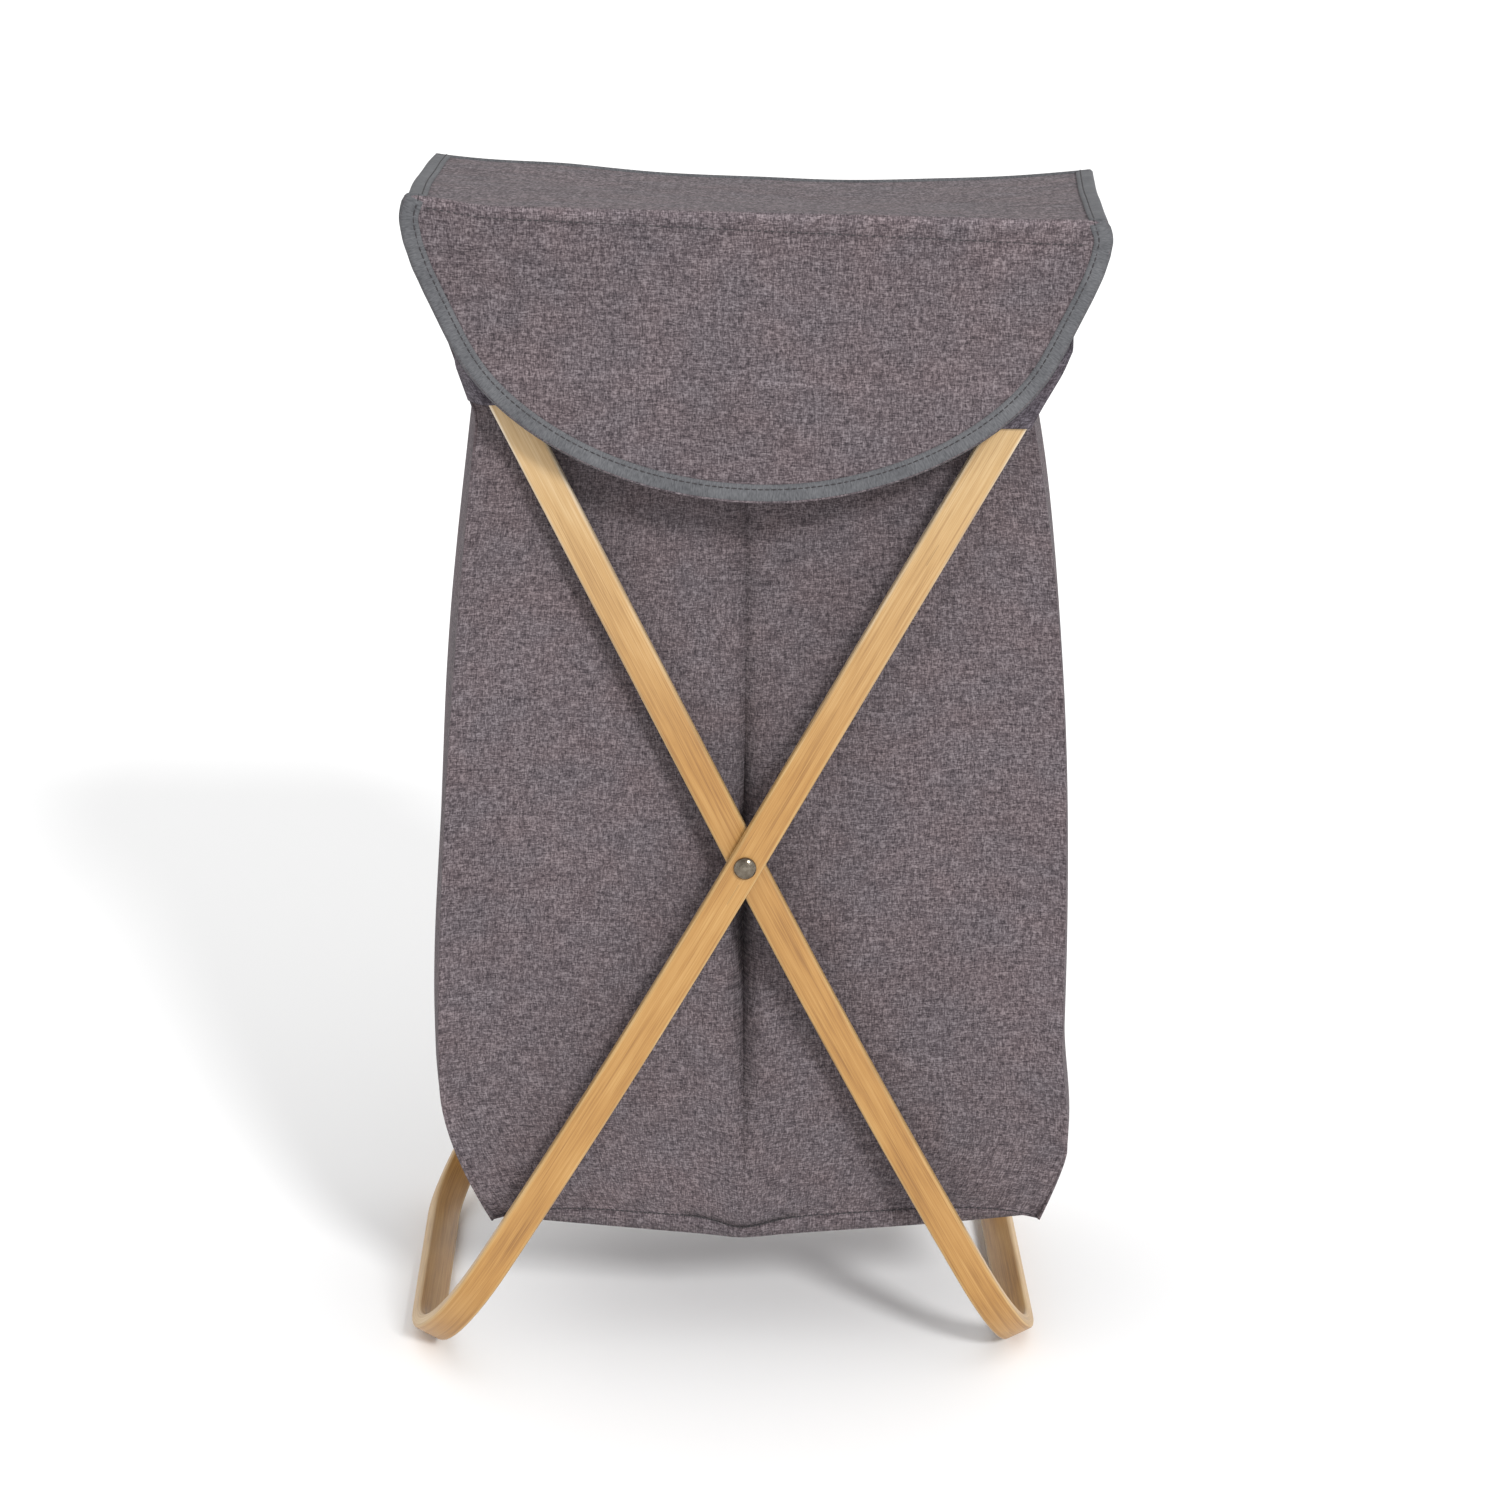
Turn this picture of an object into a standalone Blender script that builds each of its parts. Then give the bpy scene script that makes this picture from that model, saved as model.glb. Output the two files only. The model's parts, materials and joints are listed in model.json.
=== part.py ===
"""Folding laundry hamper: two nested bamboo loops crossed in an X, a fabric bag between them
and a lid with a hanging front flap.

Metres, +Z up, front towards -Y. The origin is on the floor, under the middle of the bag.
"""

import math

import bmesh
import bpy
from mathutils import Matrix, Vector

# Bamboo strip and the two loops bent from it
STRIP_WIDTH = 0.0185  # across the leg's face
STRIP_THICKNESS = 0.009
STRIP_EDGE_RADIUS = 0.0025
OUTER_BEND_RADIUS = 0.078  # middle of the strip, at each floor corner
INNER_BEND_RADIUS = 0.062
LEG_BOW = 0.176  # curvature of the legs below the pivot, per metre: the feet lean further out
PIVOT_HEIGHT = 0.309
OUTER_REACH = 0.357  # from the pivot to the underside of the outer loop's floor bar
NEST_GAP = 0.001  # between the two floor bars when the loops lie in one plane
LEG_DEPTH = 0.150  # from the middle of the hamper to the middle of an outer leg
TIP_BELOW_RIM = 0.065

# Pivot screws, one at the front and one at the rear
SCREW_RADIUS = 0.003
HEAD_RADIUS = 0.00625
HEAD_HEIGHT = 0.0035
HEAD_RIM = 0.0008  # straight edge under the dome
WASHER_RADIUS = 0.0075
WASHER_THICKNESS = 0.001
NUT_RADIUS = 0.0065
NUT_THICKNESS = 0.0032
NUT_WALL = 0.0009
BORE_CLEARANCE = 0.0003
FIT_GAP = 0.0003  # between pieces that touch

# Bag
RIM_HEIGHT = 0.6625
RIM_PAST_TIPS = 0.0231  # from the middle of the outer loop's tips to the rim's corners
NECK_BELOW_RIM = 0.1035  # where the pockets end and the bag is narrowest
BELLY_HEIGHT = 0.200  # where the bag is widest
BELLY_HALF_WIDTH = 0.1755
CORNER_HEIGHT = 0.180  # where the lower corners start to draw in
BOTTOM_HEIGHT = 0.0906
BOTTOM_HALF_WIDTH = 0.152
BOTTOM_SAG = 0.013  # the floor panel's crease hangs lower than its sides
PANEL_THICKNESS = 0.0015
BAG_TO_NUT = 0.001
HEM_HEIGHT = 0.022
HEM_THICKNESS = 0.0012

# Corner pockets that hold the leg tips
POCKET_WALL = 0.0012
POCKET_CLEARANCE = 0.0005

# Lid
LID_REAR_OVERHANG = 0.010  # past the rim's corners on each side
LID_TO_RIM = 0.0008
LID_FABRIC = 0.0014
LID_LINING = 0.0010
LID_FALL_GAP = 0.0005  # kept clear of the rear hem as the lid drops behind it
FLAP_TO_POCKET = 0.001
FLAP_LENGTH = 0.151
FLAP_TAPER = 0.037  # how far each slanted side comes in before the round lower edge
FLAP_ARC_DROP = 0.062  # height of the round lower edge
BINDING_WIDTH = 0.010
BINDING_PROUD = 0.0004  # the tape stands this far off each face

# Fineness of the curved shapes
LEG_STEPS = 8
BEND_STEPS = 10
TURN_STEPS = 24
PROFILE_STEPS = 8
FLAP_STEPS = 10


def floor_angle(reach):
    """Lean of a loop that stands on the rounded lower edge of its floor bar, pinned at the pivot height."""
    across = STRIP_WIDTH / 2 - STRIP_EDGE_RADIUS - LEG_BOW * reach**2 / 2
    down = reach - STRIP_EDGE_RADIUS
    rise = PIVOT_HEIGHT - STRIP_EDGE_RADIUS
    return math.atan2(across, down) + math.acos(rise / math.hypot(across, down))


# Sizes that follow from the ones above
INNER_REACH = OUTER_REACH - STRIP_THICKNESS - NEST_GAP
OUTER_LEAN = floor_angle(OUTER_REACH)
INNER_LEAN = -floor_angle(INNER_REACH)
NECK_HEIGHT = RIM_HEIGHT - NECK_BELOW_RIM
SLEEVE_HALF_WIDTH = STRIP_WIDTH / 2 + POCKET_CLEARANCE + POCKET_WALL
NECK_CENTRE = (NECK_HEIGHT - PIVOT_HEIGHT) * math.tan(OUTER_LEAN)
NECK_HALF_WIDTH = NECK_CENTRE + SLEEVE_HALF_WIDTH / math.cos(OUTER_LEAN)
RIM_HALF_WIDTH = (RIM_HEIGHT - TIP_BELOW_RIM - PIVOT_HEIGHT) * math.tan(OUTER_LEAN) + RIM_PAST_TIPS
LID_REAR_HALF_WIDTH = RIM_HALF_WIDTH + LID_REAR_OVERHANG
FLAP_CORNER_HALF_WIDTH = RIM_HALF_WIDTH - FLAP_TAPER
FLAP_ARC_RADIUS = (FLAP_CORNER_HALF_WIDTH**2 + FLAP_ARC_DROP**2) / (2 * FLAP_ARC_DROP)
LOOP_SPACING = STRIP_THICKNESS + WASHER_THICKNESS + 2 * FIT_GAP
INNER_LEG_DEPTH = LEG_DEPTH - LOOP_SPACING
INNER_FACE = INNER_LEG_DEPTH - STRIP_THICKNESS / 2
OUTER_FACE = LEG_DEPTH + STRIP_THICKNESS / 2
BAG_HALF_DEPTH = INNER_FACE - FIT_GAP - NUT_THICKNESS - BAG_TO_NUT
POCKET_FACE = OUTER_FACE + POCKET_CLEARANCE + POCKET_WALL
LID_THICKNESS = LID_LINING + FIT_GAP + LID_FABRIC
LID_UNDERSIDE = RIM_HEIGHT + LID_TO_RIM
FLAP_INSIDE = POCKET_FACE + FLAP_TO_POCKET
LID_FRONT = FLAP_INSIDE + LID_THICKNESS
LID_REAR = BAG_HALF_DEPTH + FIT_GAP + HEM_THICKNESS + LID_FALL_GAP + LID_THICKNESS + BINDING_PROUD


def stations(low, high, steps):
    """Evenly spaced values from low to high, both included."""
    return [low + (high - low) * step / steps for step in range(steps + 1)]


def clear_scene():
    for obj in list(bpy.data.objects):
        bpy.data.objects.remove(obj, do_unlink=True)


def make_material(name, color, roughness, metallic=0.0):
    material = bpy.data.materials.new(name)
    material.use_nodes = True
    shader = material.node_tree.nodes["Principled BSDF"]
    shader.inputs["Base Color"].default_value = (*color, 1.0)
    shader.inputs["Roughness"].default_value = roughness
    shader.inputs["Metallic"].default_value = metallic
    return material


def finish_object(name, bm, material, parent=None):
    """Makes a bmesh an object in the scene, with its faces pointing out."""
    bmesh.ops.remove_doubles(bm, verts=bm.verts, dist=1e-6)
    bmesh.ops.recalc_face_normals(bm, faces=bm.faces)
    mesh = bpy.data.meshes.new(name)
    bm.to_mesh(mesh)
    bm.free()
    mesh.materials.append(material)
    obj = bpy.data.objects.new(name, mesh)
    bpy.context.scene.collection.objects.link(obj)
    obj.parent = parent
    return obj


def make_joint_empty(name, location, tilt=0.0):
    empty = bpy.data.objects.new(name, None)
    empty.location = location
    empty.rotation_euler = (0.0, tilt, 0.0)
    bpy.context.scene.collection.objects.link(empty)
    return empty


def extrude_outline(points, direction):
    """A flat outline pushed along a direction into a closed plate."""
    bm = bmesh.new()
    face = bm.faces.new([bm.verts.new(point) for point in points])
    pushed = bmesh.ops.extrude_face_region(bm, geom=[face])["geom"]
    moved = [item for item in pushed if isinstance(item, bmesh.types.BMVert)]
    bmesh.ops.translate(bm, verts=moved, vec=Vector(direction))
    return bm


def make_box(low, high):
    bm = bmesh.new()
    bmesh.ops.create_cube(bm, size=1.0)
    low, high = Vector(low), Vector(high)
    bmesh.ops.scale(bm, verts=bm.verts, vec=high - low)
    bmesh.ops.translate(bm, verts=bm.verts, vec=(low + high) / 2)
    return bm


# ---- Frame loops

def leg_length_above_pivot(angle):
    """How far up its leg a loop ends, for the tip to be the stated drop below the rim."""
    return (RIM_HEIGHT - TIP_BELOW_RIM - PIVOT_HEIGHT) / math.cos(angle)


def bow_legs(bm, lean):
    """Bends a loop's lower half sideways, so that its feet lean out further than its straight top."""
    for vert in bm.verts:
        if vert.co.z < 0:
            vert.co.x -= math.copysign(LEG_BOW * vert.co.z**2 / 2, lean)


def extrude_to(bm, face, offset, steps):
    for _ in range(steps):
        pushed = bmesh.ops.extrude_face_region(bm, geom=[face])["geom"]
        face_out = [item for item in pushed if isinstance(item, bmesh.types.BMFace)][0]
        bmesh.ops.translate(bm, verts=face_out.verts, vec=Vector(offset) / steps)
        bm.faces.remove(face)
        face = face_out
    return face


def spin_quarter(bm, face, centre):
    """Turns the end face a quarter round a floor corner, from leg to bar or from bar to leg."""
    for _ in range(BEND_STEPS):
        pushed = bmesh.ops.extrude_face_region(bm, geom=[face])["geom"]
        face_out = [item for item in pushed if isinstance(item, bmesh.types.BMFace)][0]
        turn = Matrix.Rotation(math.pi / 2 / BEND_STEPS, 3, "X")
        bmesh.ops.rotate(bm, verts=face_out.verts, cent=centre, matrix=turn)
        bm.faces.remove(face)
        face = face_out
    return face


def make_loop(name, depth, reach, bend, lean, material, parent):
    """One U-shaped loop in its own frame: legs along Z, floor bar along Y, pivot at the origin."""
    top = leg_length_above_pivot(lean)
    bar = -reach + STRIP_THICKNESS / 2
    bend_top = bar + bend
    half = STRIP_WIDTH / 2
    bm = bmesh.new()
    inside, outside = -depth + STRIP_THICKNESS / 2, -depth - STRIP_THICKNESS / 2
    section = [(-half, outside, top), (half, outside, top), (half, inside, top), (-half, inside, top)]
    tip = bm.faces.new([bm.verts.new(corner) for corner in section])
    pushed = bmesh.ops.extrude_face_region(bm, geom=[tip])["geom"]
    face = [item for item in pushed if isinstance(item, bmesh.types.BMFace)][0]
    bmesh.ops.translate(bm, verts=face.verts, vec=(0, 0, (bend_top - top) / LEG_STEPS))
    face = extrude_to(bm, face, (0, 0, (bend_top - top) * (1 - 1 / LEG_STEPS)), LEG_STEPS - 1)
    face = spin_quarter(bm, face, Vector((0, -depth + bend, bend_top)))
    face = extrude_to(bm, face, (0, 2 * (depth - bend), 0), 2)
    face = spin_quarter(bm, face, Vector((0, depth - bend, bend_top)))
    extrude_to(bm, face, (0, 0, top - bend_top), LEG_STEPS)
    bow_legs(bm, lean)
    obj = finish_object(name, bm, material, parent)
    rounding = obj.modifiers.new("rounded_edges", "BEVEL")
    rounding.width = STRIP_EDGE_RADIUS
    rounding.segments = 2
    rounding.limit_method = "ANGLE"
    rounding.angle_limit = math.radians(40)
    bore = obj.modifiers.new("pivot_bore", "BOOLEAN")
    bore.operation = "DIFFERENCE"
    bore.object = make_bore_cutter(name + "_bore", parent)
    return obj


def make_bore_cutter(name, parent):
    bm = bmesh.new()
    radius = SCREW_RADIUS + BORE_CLEARANCE
    depth = 2 * (OUTER_FACE + HEAD_HEIGHT)
    bmesh.ops.create_cone(
        bm, cap_ends=True, segments=TURN_STEPS, radius1=radius, radius2=radius, depth=depth
    )
    bmesh.ops.rotate(bm, verts=bm.verts, cent=(0, 0, 0), matrix=Matrix.Rotation(math.pi / 2, 3, "X"))
    cutter = finish_object(name, bm, None, parent)
    cutter.hide_render = True
    cutter.display_type = "WIRE"
    return cutter


def make_pocket(name, depth, side_y, lean, material, parent):
    """Fabric sleeve over a leg tip, open at the bag's neck and closed just above the tip."""
    top = leg_length_above_pivot(lean) + POCKET_CLEARANCE
    mouth = (NECK_HEIGHT - PIVOT_HEIGHT) / math.cos(lean)
    half_x, middle = SLEEVE_HALF_WIDTH, side_y * depth
    half_y = STRIP_THICKNESS / 2 + POCKET_CLEARANCE + POCKET_WALL
    bm = make_box((-half_x, middle - half_y, mouth), (half_x, middle + half_y, top + POCKET_WALL))
    bm.normal_update()
    underside = min(bm.faces, key=lambda face: face.normal.z)
    bmesh.ops.inset_individual(bm, faces=[underside], thickness=POCKET_WALL)
    extrude_to(bm, underside, (0, 0, top - mouth), 1)
    return finish_object(name, bm, material, parent)


# ---- Pivot hardware, turned about the Y axis

def turn_about_y(name, profile, side_y, material, parent):
    """Turns a profile of (radius, distance from the middle) points about the pivot axis."""
    bm = bmesh.new()
    verts = [bm.verts.new((radius, side_y * reach, 0)) for radius, reach in profile]
    edges = [bm.edges.new(pair) for pair in zip(verts, verts[1:])]
    closed_ring = profile[0][0] > 0
    if closed_ring:
        edges.append(bm.edges.new((verts[-1], verts[0])))
    bmesh.ops.spin(
        bm,
        geom=verts + edges,
        cent=(0, 0, 0),
        axis=(0, 1, 0),
        angle=2 * math.pi,
        steps=TURN_STEPS,
        use_merge=True,
    )
    obj = finish_object(name, bm, material, parent)
    obj.data.shade_smooth()
    obj.data.set_sharp_from_angle(angle=math.radians(35))
    return obj


def make_pivot(place, side_y, materials, parent):
    seat = OUTER_FACE + FIT_GAP
    nut_seat = INNER_FACE - FIT_GAP
    nut_end = nut_seat - NUT_THICKNESS
    shank_end = nut_end + NUT_WALL + FIT_GAP
    dome = [(0.0, seat + HEAD_HEIGHT)]
    dome_height = HEAD_HEIGHT - HEAD_RIM
    for step in range(1, 7):
        angle = math.pi / 2 * step / 6
        dome.append((HEAD_RADIUS * math.sin(angle), seat + HEAD_RIM + dome_height * math.cos(angle)))
    shank = [(HEAD_RADIUS, seat), (SCREW_RADIUS, seat), (SCREW_RADIUS, shank_end), (0.0, shank_end)]
    turn_about_y(place + "_pivot_screw", dome + shank, side_y, materials["nickel"], parent)

    hole = SCREW_RADIUS + BORE_CLEARANCE
    washer_low = INNER_FACE + STRIP_THICKNESS + FIT_GAP
    washer_high = washer_low + WASHER_THICKNESS
    ring = [(hole, washer_low), (WASHER_RADIUS, washer_low)]
    ring += [(WASHER_RADIUS, washer_high), (hole, washer_high)]
    turn_about_y(place + "_pivot_washer", ring, side_y, materials["nylon"], parent)

    nut = [
        (0.0, nut_end),
        (NUT_RADIUS - NUT_WALL, nut_end),
        (NUT_RADIUS, nut_end + NUT_WALL),
        (NUT_RADIUS, nut_seat),
        (hole, nut_seat),
        (hole, nut_end + NUT_WALL),
        (0.0, nut_end + NUT_WALL),
    ]
    turn_about_y(place + "_pivot_nut", nut, side_y, materials["nickel"], parent)


# ---- Bag

def bag_half_width(height):
    """Half the bag's width: it flares to the rim, narrows at the neck and swells below it."""
    if height >= NECK_HEIGHT:
        share = (height - NECK_HEIGHT) / (RIM_HEIGHT - NECK_HEIGHT)
        return NECK_HALF_WIDTH + (RIM_HALF_WIDTH - NECK_HALF_WIDTH) * share
    if height >= BELLY_HEIGHT:
        share = (height - BELLY_HEIGHT) / (NECK_HEIGHT - BELLY_HEIGHT)
        return BELLY_HALF_WIDTH - (BELLY_HALF_WIDTH - NECK_HALF_WIDTH) * share**2
    if height >= CORNER_HEIGHT:
        return BELLY_HALF_WIDTH
    share = (CORNER_HEIGHT - height) / (CORNER_HEIGHT - BOTTOM_HEIGHT)
    return BELLY_HALF_WIDTH - (BELLY_HALF_WIDTH - BOTTOM_HALF_WIDTH) * share**2


def bag_heights():
    """Heights at which the side outline has a point, from the bottom to the rim."""
    heights = stations(BOTTOM_HEIGHT, CORNER_HEIGHT, PROFILE_STEPS)
    heights += [BELLY_HEIGHT] if BELLY_HEIGHT > CORNER_HEIGHT else []
    heights += stations(BELLY_HEIGHT, NECK_HEIGHT, PROFILE_STEPS)[1:]
    return heights + [RIM_HEIGHT]


def make_face_panel(name, side_y, material, parent):
    """The front or rear wall, flat, with the whole side outline and the sagging lower edge."""
    right = [(bag_half_width(z), side_y * BAG_HALF_DEPTH, z) for z in bag_heights()]
    left = [(-x, y, z) for x, y, z in reversed(right)]
    crease = (0.0, side_y * BAG_HALF_DEPTH, BOTTOM_HEIGHT - BOTTOM_SAG)
    bm = extrude_outline([crease] + right + left, (0, -side_y * PANEL_THICKNESS, 0))
    return finish_object(name, bm, material, parent)


def make_side_panel(name, side_x, material, parent):
    """A side wall between the front and rear walls, following their outline."""
    depth = BAG_HALF_DEPTH - PANEL_THICKNESS - FIT_GAP
    outside = [(side_x * bag_half_width(z), -depth, z) for z in bag_heights()]
    inside = [(x - side_x * PANEL_THICKNESS, y, z) for x, y, z in reversed(outside)]
    bm = extrude_outline(outside + inside, (0, 2 * depth, 0))
    return finish_object(name, bm, material, parent)


def make_bottom_panel(material, parent):
    """The floor of the bag, creased down the middle, between the four walls."""
    depth = BAG_HALF_DEPTH - PANEL_THICKNESS - FIT_GAP
    edge = BOTTOM_HALF_WIDTH - PANEL_THICKNESS - FIT_GAP
    fall = BOTTOM_SAG * edge / BOTTOM_HALF_WIDTH
    low = [(-edge, -depth, BOTTOM_HEIGHT), (0, -depth, BOTTOM_HEIGHT - fall), (edge, -depth, BOTTOM_HEIGHT)]
    high = [(x, y, z + PANEL_THICKNESS) for x, y, z in reversed(low)]
    bm = extrude_outline(low + high, (0, 2 * depth, 0))
    return finish_object("bag_bottom_panel", bm, material, parent)


def make_rim_hems(material, parent):
    """Turned hems outside the top edge of the four walls."""
    low = RIM_HEIGHT - HEM_HEIGHT
    near = BAG_HALF_DEPTH + FIT_GAP
    for place, side_y in (("front", -1), ("rear", 1)):
        outline = [
            (-bag_half_width(low), side_y * near, low),
            (bag_half_width(low), side_y * near, low),
            (RIM_HALF_WIDTH, side_y * near, RIM_HEIGHT),
            (-RIM_HALF_WIDTH, side_y * near, RIM_HEIGHT),
        ]
        bm = extrude_outline(outline, (0, side_y * HEM_THICKNESS, 0))
        finish_object(place + "_rim_hem", bm, material, parent)
    for place, side_x in (("left", -1), ("right", 1)):
        start = [
            (side_x * (bag_half_width(low) + FIT_GAP), -BAG_HALF_DEPTH, low),
            (side_x * (RIM_HALF_WIDTH + FIT_GAP), -BAG_HALF_DEPTH, RIM_HEIGHT),
        ]
        end = [(x + side_x * HEM_THICKNESS, y, z) for x, y, z in reversed(start)]
        bm = extrude_outline(start + end, (0, 2 * BAG_HALF_DEPTH, 0))
        finish_object(place + "_rim_hem", bm, material, parent)


# ---- Lid

def flap_outline(inset):
    """Half of the D-shaped flap, from the ridge down to the middle, as (half width, drop) points."""
    corner_drop = FLAP_LENGTH - FLAP_ARC_RADIUS + math.sqrt(FLAP_ARC_RADIUS**2 - FLAP_CORNER_HALF_WIDTH**2)
    slant = Vector((FLAP_CORNER_HALF_WIDTH - RIM_HALF_WIDTH, corner_drop)).normalized()
    edge = Vector((RIM_HALF_WIDTH - inset / slant.y, 0.0))
    centre = Vector((0.0, FLAP_LENGTH - FLAP_ARC_RADIUS))
    radius = FLAP_ARC_RADIUS - inset
    along = slant.dot(centre - edge)
    off = (edge + slant * along - centre).length
    corner = edge + slant * (along + math.sqrt(radius**2 - off**2)) - centre
    start = math.atan2(corner.y, corner.x)
    points = [tuple(edge)]
    for angle in stations(start, math.pi / 2, FLAP_STEPS):
        points.append((radius * math.cos(angle), centre.y + radius * math.sin(angle)))
    return points


def make_flap(materials, parent):
    """Front flap: fabric outside, lining inside and a tape round its curved edge."""
    top = LID_UNDERSIDE + LID_THICKNESS - LID_FABRIC - FIT_GAP

    def plate(points, y):
        right = [(x, y, top - drop) for x, drop in points]
        left = [(-x, y, z) for x, y, z in reversed(right[:-1])]
        return right + left

    body = flap_outline(BINDING_WIDTH + FIT_GAP)
    bm = extrude_outline(plate(body, -FLAP_INSIDE), (0, -LID_LINING, 0))
    finish_object("flap_lining", bm, materials["lining"], parent)
    outer_y = FLAP_INSIDE + LID_LINING + FIT_GAP
    bm = extrude_outline(plate(body, -outer_y), (0, -LID_FABRIC, 0))
    finish_object("lid_front_flap", bm, materials["fabric"], parent)

    near = -FLAP_INSIDE + BINDING_PROUD
    far = -LID_FRONT - BINDING_PROUD
    band = plate(flap_outline(0.0), near) + list(reversed(plate(flap_outline(BINDING_WIDTH), near)))
    bm = extrude_outline(band, (0, far - near, 0))
    finish_object("flap_binding", bm, materials["tape"], parent)


def make_lid_top(materials, parent):
    """Top of the lid, from the rear rim to the ridge above the flap."""
    front, rear = -LID_FRONT - BINDING_PROUD, LID_REAR
    side = Vector((LID_REAR_HALF_WIDTH - RIM_HALF_WIDTH, rear - front))

    def half_width(y, inset):
        share = (y - front) / side.y
        return RIM_HALF_WIDTH + side.x * share - inset * side.length / side.y

    inset = BINDING_WIDTH + FIT_GAP
    back = rear - inset
    lining_front = -FLAP_INSIDE + BINDING_PROUD + FIT_GAP  # stops behind the flap
    outline = [
        (-half_width(lining_front, inset), lining_front, LID_UNDERSIDE),
        (half_width(lining_front, inset), lining_front, LID_UNDERSIDE),
        (half_width(back, inset), back, LID_UNDERSIDE),
        (-half_width(back, inset), back, LID_UNDERSIDE),
    ]
    fabric_bottom = LID_UNDERSIDE + LID_LINING + FIT_GAP
    bm = extrude_outline(outline, (0, 0, LID_LINING))
    finish_object("lid_lining", bm, materials["lining"], parent)
    outline = [
        (-half_width(front, inset), front, fabric_bottom),
        (half_width(front, inset), front, fabric_bottom),
        (half_width(back, inset), back, fabric_bottom),
        (-half_width(back, inset), back, fabric_bottom),
    ]
    bm = extrude_outline(outline, (0, 0, LID_FABRIC))
    finish_object("lid_top_panel", bm, materials["fabric"], parent)

    low = fabric_bottom
    edge = rear - BINDING_WIDTH
    band = [
        (half_width(front, 0), front, low),
        (half_width(rear, 0), rear, low),
        (-half_width(rear, 0), rear, low),
        (-half_width(front, 0), front, low),
        (-half_width(front, BINDING_WIDTH), front, low),
        (-half_width(edge, BINDING_WIDTH), edge, low),
        (half_width(edge, BINDING_WIDTH), edge, low),
        (half_width(front, BINDING_WIDTH), front, low),
    ]
    bm = extrude_outline(band, (0, 0, LID_FABRIC + BINDING_PROUD))
    finish_object("lid_binding", bm, materials["tape"], parent)


def main():
    clear_scene()
    materials = {
        "bamboo": make_material("bamboo", (0.62, 0.38, 0.17), 0.45),
        "nickel": make_material("nickel", (0.62, 0.60, 0.57), 0.22, 1.0),
        "nylon": make_material("nylon", (0.80, 0.79, 0.75), 0.5),
        "fabric": make_material("linen_fabric", (0.145, 0.120, 0.128), 0.92),
        "lining": make_material("lining", (0.17, 0.15, 0.15), 0.85),
        "tape": make_material("binding_tape", (0.15, 0.15, 0.16), 0.8),
    }
    pivot = make_joint_empty("pivot_axis", (0, 0, PIVOT_HEIGHT))
    outer = make_joint_empty("outer_loop_axis", (0, 0, PIVOT_HEIGHT), OUTER_LEAN)
    inner = make_joint_empty("inner_loop_axis", (0, 0, PIVOT_HEIGHT), INNER_LEAN)

    bamboo = materials["bamboo"]
    outer_shape = (LEG_DEPTH, OUTER_REACH, OUTER_BEND_RADIUS, OUTER_LEAN)
    inner_shape = (INNER_LEG_DEPTH, INNER_REACH, INNER_BEND_RADIUS, INNER_LEAN)
    make_loop("outer_frame_loop", *outer_shape, bamboo, outer)
    make_loop("inner_frame_loop", *inner_shape, bamboo, inner)
    for place, side_y in (("front", -1), ("rear", 1)):
        make_pivot(place, side_y, materials, pivot)
        make_face_panel("bag_" + place + "_panel", side_y, materials["fabric"], None)
        right, left = place + "_right_pocket", place + "_left_pocket"
        make_pocket(right, LEG_DEPTH, side_y, OUTER_LEAN, materials["fabric"], outer)
        make_pocket(left, INNER_LEG_DEPTH, side_y, INNER_LEAN, materials["fabric"], inner)
    for place, side_x in (("left", -1), ("right", 1)):
        make_side_panel("bag_" + place + "_panel", side_x, materials["fabric"], None)
    make_bottom_panel(materials["fabric"], None)
    make_rim_hems(materials["tape"], None)
    make_lid_top(materials, None)
    make_flap(materials, None)


main()
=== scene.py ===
import bisect
import json
import math

import bmesh
import bpy
from mathutils import Matrix, Vector, noise


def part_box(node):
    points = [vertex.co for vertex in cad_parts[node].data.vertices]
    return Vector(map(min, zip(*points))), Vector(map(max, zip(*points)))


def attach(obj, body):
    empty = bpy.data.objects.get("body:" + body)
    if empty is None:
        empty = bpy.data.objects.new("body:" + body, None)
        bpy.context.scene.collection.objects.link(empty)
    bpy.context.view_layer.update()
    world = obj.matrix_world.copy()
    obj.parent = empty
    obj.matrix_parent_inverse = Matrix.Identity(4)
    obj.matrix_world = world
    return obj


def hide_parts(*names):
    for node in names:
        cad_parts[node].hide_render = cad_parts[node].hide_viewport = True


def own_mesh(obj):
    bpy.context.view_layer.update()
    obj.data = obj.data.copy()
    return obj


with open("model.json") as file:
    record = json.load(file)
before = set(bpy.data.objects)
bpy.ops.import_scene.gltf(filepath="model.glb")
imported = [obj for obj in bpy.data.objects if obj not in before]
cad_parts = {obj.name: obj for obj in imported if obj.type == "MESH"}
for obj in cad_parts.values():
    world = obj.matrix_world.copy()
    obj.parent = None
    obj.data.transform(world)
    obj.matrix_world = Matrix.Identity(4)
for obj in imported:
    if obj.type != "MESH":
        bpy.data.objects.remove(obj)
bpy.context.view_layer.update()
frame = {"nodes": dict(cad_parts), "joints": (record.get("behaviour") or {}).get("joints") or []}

joints = {joint["name"]: joint for joint in frame["joints"]}
pivot = Vector(joints["frame_fold"]["pos_m"])
flapHinge = Vector(joints["flap_hinge"]["pos_m"])


# small helpers

def clamp(value, low=0.0, high=1.0):
    return max(low, min(high, value))


def ease(low, high, value):
    share = clamp((value - low) / (high - low))
    return share * share * (3 - 2 * share)


def hump(value, centre, width):
    return math.exp(-((value - centre) / width) ** 2)


def wander(x, y, z, size, seed=0.0):
    # smooth noise from -1 to 1 whose bumps are about size metres across
    return noise.noise(Vector((x / size + seed, y / size - seed, z / size + 2.0 * seed)))


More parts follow.
